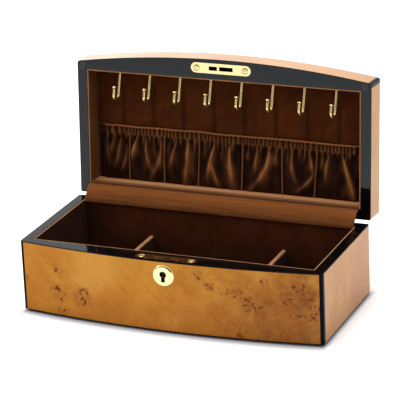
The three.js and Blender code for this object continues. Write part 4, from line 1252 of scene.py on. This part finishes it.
def pocket_at(across, down):
    """How far the cloth stands off the lid's panel, and its painted light: a painted highlight on ridges, fold
    backs, seams and hem, and painted shade in the hollows and beside the seams.
    """
    seams = [top + (foot - top) * down for top, foot in SEAMS]
    k = max(i for i in range(len(seams) - 1) if across >= seams[i] - 1e-9)
    share = (across - seams[k]) / (seams[k + 1] - seams[k])
    near_seam = min(abs(across - s) for s in seams[1:-1]) * POCKET_WIDTH
    from_end = min(across, 1 - across) * POCKET_WIDTH
    below = smooth(BAND_SHARE, BAND_SHARE + 0.35, down)
    belly = math.sin(math.pi * share_of(share)) ** 0.6
    swell = belly * below * (1 - 0.45 * down ** 3)
    band = smooth(BAND_SHARE + 0.16, BAND_SHARE - 0.01, down)
    at_folds = [fold_at(fold, across, down) for fold in FOLDS]
    folds = sum(rise for rise, _ in at_folds) * (0.45 + 0.55 * below)
    back = max(back for _, back in at_folds)
    seam = line_at(near_seam, 0, 0.65 * MM) * smooth(0.1, 0.17, down)
    stand = CLOTH_STAND + (BAND_STAND - CLOTH_STAND) * band
    stand += 2.3 * MM * swell + folds + 1.7 * MM * seam
    pucker = ruffle(across + 0.006 * down)
    stand += 0.5 * MM * pucker * band * smooth(0.0, 0.03, down)
    fine = gathers_below(across, down)
    stand += 0.5 * MM * fine
    stand -= 0.5 * MM * line_at(down, BAND_SHARE, 0.012) + 0.35 * MM * line_at(down, 0.035, 0.01)
    wave = uneven(across * 42, down * 4, 4.1)
    crease = uneven(across * 170, down * 22, 9.7)
    stand += 0.55 * MM * wave * below + 0.16 * MM * crease
    # Painted light: ridges, fold backs, seams, gathers and hem are painted bright, and the hollows and the cloth
    # beside each seam dark.
    ridge = min(1, folds / (2.5 * MM)) ** 1.15
    painted_light = ridge * (0.56 + 0.35 * wave) + 0.5 * back + 0.08 * below * (0.7 + 1.2 * wave)
    painted_light = max(painted_light, 0.5 * fine)
    painted_light *= 1 - 0.75 * line_at(near_seam, 1.7 * MM, 0.9 * MM)
    painted_light = max(painted_light, 0.68 * seam)
    in_band = smooth(0.2, 0.13, down)
    gathers = smooth(-0.4, 1.1, pucker)
    painted_light = max(painted_light, in_band * (0.12 + 0.4 * gathers))
    painted_light = max(painted_light, 0.5 * line_at(down, BAND_SHARE + 0.01, 0.014) * (0.6 + 0.4 * pucker))
    painted_light *= 1 - 0.55 * line_at(down, 0.055, 0.012)
    painted_light = max(painted_light, 0.85 * smooth(0.04, 0.012, down))
    fade = smooth(0, 9 * MM, from_end)
    painted_light = 1.1 * max(0, painted_light) ** 1.35
    return LEAST_STAND + (stand - LEAST_STAND) * fade, min(1, painted_light) * (0.3 + 0.7 * fade)


def pocket_point(across, down):
    """A point's place in the shut lid, and its painted light. The strip's mouth is a little uneven."""
    lift = 0.35 * MM * ruffle(across + 0.004) * smooth(0.05, 0, down)
    lift += 0.9 * MM * uneven(across * 9, 2.2, 6.1) * smooth(0.4, 0, down)
    stand, painted_light = pocket_at(across, down)
    return (POCKET_LEFT + POCKET_WIDTH * across,
            POCKET_MOUTH + POCKET_HEIGHT * down + lift, POCKET_BACK - stand), painted_light


# %% Cloth helpers
def cloth_grid(name, columns, rows, point_at):
    """A grid of cloth. point_at takes how far across and along a point is, as shares from 0 to 1,
    and gives its place and its painted light, kept on the grid for the shader."""
    cloth = add(name, bpy.ops.mesh.primitive_grid_add, x_subdivisions=columns,
                y_subdivisions=rows, size=1)
    painted_lights = []
    for vertex in cloth.data.vertices:
        vertex.co, painted_light = point_at(vertex.co.x + 0.5, vertex.co.y + 0.5)
        painted_lights.append(painted_light)
    cloth.data.attributes.new("painted_light", "FLOAT", "POINT").data.foreach_set("value", painted_lights)
    return cloth


def cloth_size(cloth, columns, rows):
    """The flat size of a moved grid: its longest row and its longest column, and its area."""
    points = [v.co for v in cloth.data.vertices]
    lines = ([points[r * (columns + 1):(r + 1) * (columns + 1)] for r in range(rows + 1)],
             [points[c::columns + 1] for c in range(columns + 1)])
    width, length = (
        max(sum((b - a).length for a, b in zip(line, line[1:])) for line in group)
        for group in lines)
    print(cloth.name, "flat in mm:", round(width / MM, 1), "by", round(length / MM, 1))
    return (width, length), sum(face.area for face in cloth.data.polygons)


def thicken(cloth, thickness):
    """Give the cloth two sides, turned outward and smooth."""
    modify(cloth, "SOLIDIFY", thickness=thickness, offset=0)
    edit(cloth)
    face_out()
    leave()
    choose(cloth)
    bpy.ops.object.shade_smooth()


# %% Pocket
POCKET_GRID = (480, 84)
POCKET_THICKNESS = 0.45 * MM

pocket = cloth_grid("pocket_velvet", *POCKET_GRID, pocket_point)
flat, area = cloth_size(pocket, *POCKET_GRID)
thicken(pocket, POCKET_THICKNESS)
dress(pocket, POCKET_CLOTH, "lid", "velvet", "necklace_pocket")

# %% [markdown]
# ## The gusset over the hinge line
# A strip of velvet spans the gap behind the compartments, from inside the base's back wall to
# the lid's rim. Held at both edges and slack between, it shows long shallow wrinkles. It belongs
# to both halves; here it is built where it hangs with the lid open and is attached to neither.

# %% Gusset
GUSSET_GRID = (150, 36)
GUSSET_THICKNESS = 0.6 * MM
GUSSET_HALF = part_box("hinge_gusset")[1].x
GUSSET_START = Vector((0, INNER_BACK - SEAM - LINER - 1.05 * MM, RIM - 2.0 * MM))
GUSSET_TOP = HINGE + Matrix.Rotation(-OPEN_ANGLE, 3, "X") @ Vector(
    (0, INNER_BACK - 1.3 * MM - HINGE.y, LID_RIM - 0.5 * MM - HINGE.z))
GUSSET_BULGE = Vector((0, GUSSET_START.y + 1.3 * MM, RIM + 5.4 * MM))


def gusset_point(across, up):
    """A curve from the base to the lid, with wrinkles along the hinge line and a roll, and its painted light: a
    painted highlight along the roll, and painted shade towards the base and at the lid's rim.
    """
    a, b, c = GUSSET_START, GUSSET_BULGE, GUSSET_TOP
    point = a * (1 - up) ** 2 + b * 2 * up * (1 - up) + c * up ** 2
    along = ((b - a) * (1 - up) + (c - b) * up).normalized()
    outward = Vector((0, -along.z, along.y))
    slack = math.sin(math.pi * up)
    point += outward * 0.7 * MM * (line_at(up, 0.78, 0.12) - line_at(up, 0.95, 0.04))
    wrinkle = uneven(across * 9, up * 9, 2.2) * 0.55
    wrinkle += uneven(across * 26, up * 20, 7.7) * 0.22
    point += outward * wrinkle * slack * MM
    point.x = -GUSSET_HALF + 2 * GUSSET_HALF * across
    # Painted light: lighter along the roll, darker towards the base and at the lid's rim, with faint streaks.
    streak = uneven(across * 9, up * 11, 5.5)
    bright = 0.58 + 0.36 * line_at(up, 0.74, 0.16) - 0.3 * smooth(0.4, 0.0, up) + 0.14 * streak
    return point, share_of(bright) * smooth(0.985, 0.93, up)


gusset = cloth_grid("gusset_velvet", *GUSSET_GRID, gusset_point)
flat, area = cloth_size(gusset, *GUSSET_GRID)
thicken(gusset, GUSSET_THICKNESS)
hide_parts("hinge_gusset")
gusset.data.materials.append(GUSSET_CLOTH)
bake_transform(gusset)

# %% [markdown]
# ## The room
# The lacquer and the brass are mirrors, so what they show is the room. The world is a white room
# that is brightest overhead and behind the box, as in a studio where the lamps hang over the
# back of the table, and dark low down behind the camera. A lacquered surface turned up then
# mirrors the bright back wall, and one turned to the camera mirrors the table. One soft lamp on
# the left shades the bow from left to right, and one overhead gives the velvet and the brass
# their modelling.

# %% Room and light
# The table glows a little everywhere except in its painted shadow round the box's foot.
FLOOR_WHITE = 0.88
FLOOR_SHADE = 0.36
FLOOR_GLOW = 0.07
# How bright the room is everywhere, and what is added overhead, behind the box, low on the back
# wall, on the left and on the right. Behind the camera a share of it all is taken away.
ROOM_LOW = 0.45
ROOM_TOP = 0.75
ROOM_BEHIND = 0.2
ROOM_BACK = 1.0
ROOM_LEFT = 0.45
ROOM_RIGHT = 0.3
ROOM_DARK = 0.9
LAMP_AIM = (0, 0, 0.05)


def stage_floor():
    """A white table with a painted shadow: a narrow band of it round the box's foot is darker and does not glow.
    """
    floor = add("floor", bpy.ops.mesh.primitive_plane_add, size=12, location=(0, 0, 0))
    finish = Finish("white_table", Roughness=0.9, Emission_Strength=FLOOR_GLOW,
                    Specular_IOR_Level=0.1)
    across, deep = finish.along("X"), finish.along("Y")
    centre_y = SIDE_FRONT + BOW_RADIUS - BOW
    from_bow = (across * across + (deep - centre_y) * (deep - centre_y)) ** 0.5 - BOW_RADIUS
    clear = from_bow.step(-0.001, 0.0125)
    sides = across.maths("ABSOLUTE", across) - RIGHT
    clear = clear.maths("MAXIMUM", clear, sides.step(-0.0015, 0.0048))
    clear = clear.maths("MAXIMUM", clear, (deep - BACK).step(-0.003, 0.011))
    dark = (FLOOR_SHADE, FLOOR_SHADE, FLOOR_SHADE * 1.1, 1)
    white = (FLOOR_WHITE, FLOOR_WHITE, FLOOR_WHITE, 1)
    finish.set(Base_Color=finish.mix(clear, dark, white),
               Emission_Color=finish.mix(clear, (0, 0, 0, 1), (0.88, 0.97, 1, 1)))
    floor.data.materials.append(finish.material)


def lamp(name, place, size, power):
    """A soft lamp that is turned to the box."""
    light = add(name, bpy.ops.object.light_add, type="AREA", location=place)
    light.data.shape = "RECTANGLE"
    light.data.size, light.data.size_y = size
    light.data.energy = power
    light.rotation_euler = (Vector(LAMP_AIM) - Vector(place)).to_track_quat("-Z", "Y").to_euler()


def studio_world():
    """How bright the room is in each direction; right, back and up run from -1 to 1."""
    world = bpy.data.worlds.new("white_room")
    world.use_nodes = True
    tree = world.node_tree
    place = tree.nodes.new("ShaderNodeTexCoord")
    split = tree.nodes.new("ShaderNodeSeparateXYZ")
    tree.links.new(place.outputs["Generated"], split.inputs[0])
    right, back, up = (Wire(tree, split.outputs[axis]) for axis in "XYZ")
    glow = ROOM_LOW + ROOM_TOP * up.step(0.1, 0.9) + ROOM_BEHIND * back.step(0.3, 0.9)
    glow = glow + ROOM_BACK * back.step(0.2, 0.9) * up.step(0.285, 0.235) * (
        0.7 + 0.6 * right.step(0.1, -0.6))
    glow = glow + ROOM_LEFT * right.step(-0.2, -0.9) + ROOM_RIGHT * right.step(0.2, 0.9)
    glow = glow * (1 - ROOM_DARK * back.step(-0.6, -0.95) * up.step(0.45, 0.2))
    background = tree.nodes["Background"]
    background.inputs["Color"].default_value = (1, 1, 1, 1)
    plug(tree, background.inputs["Strength"], glow)
    bpy.context.scene.world = world


stage_floor()
lamp("left_lamp", (-1.6, -0.6, 1.0), size=(0.7, 0.7), power=5)
lamp("overhead_lamp", (-0.15, 0.0, 1.5), size=(1.0, 0.9), power=18)
studio_world()
bpy.context.scene.view_settings.view_transform = "Standard"

# %% Plain finishes on the other nodes of the frame
NODE_FINISHES = {
    "burl_veneer": BURL, "black_lacquer": LACQUER, "velvet": VELVET, "brass": BRASS,
    "steel": STEEL, "black_rubber": RUBBER, "floor_board": BOARD,
}
slot_of = {s["node"]: s["material_slot"] for s in frame["record"]["subparts"]}
for name, node in frame["nodes"].items():
    node.data.materials.clear()
    node.data.materials.append(NODE_FINISHES[slot_of[name]])
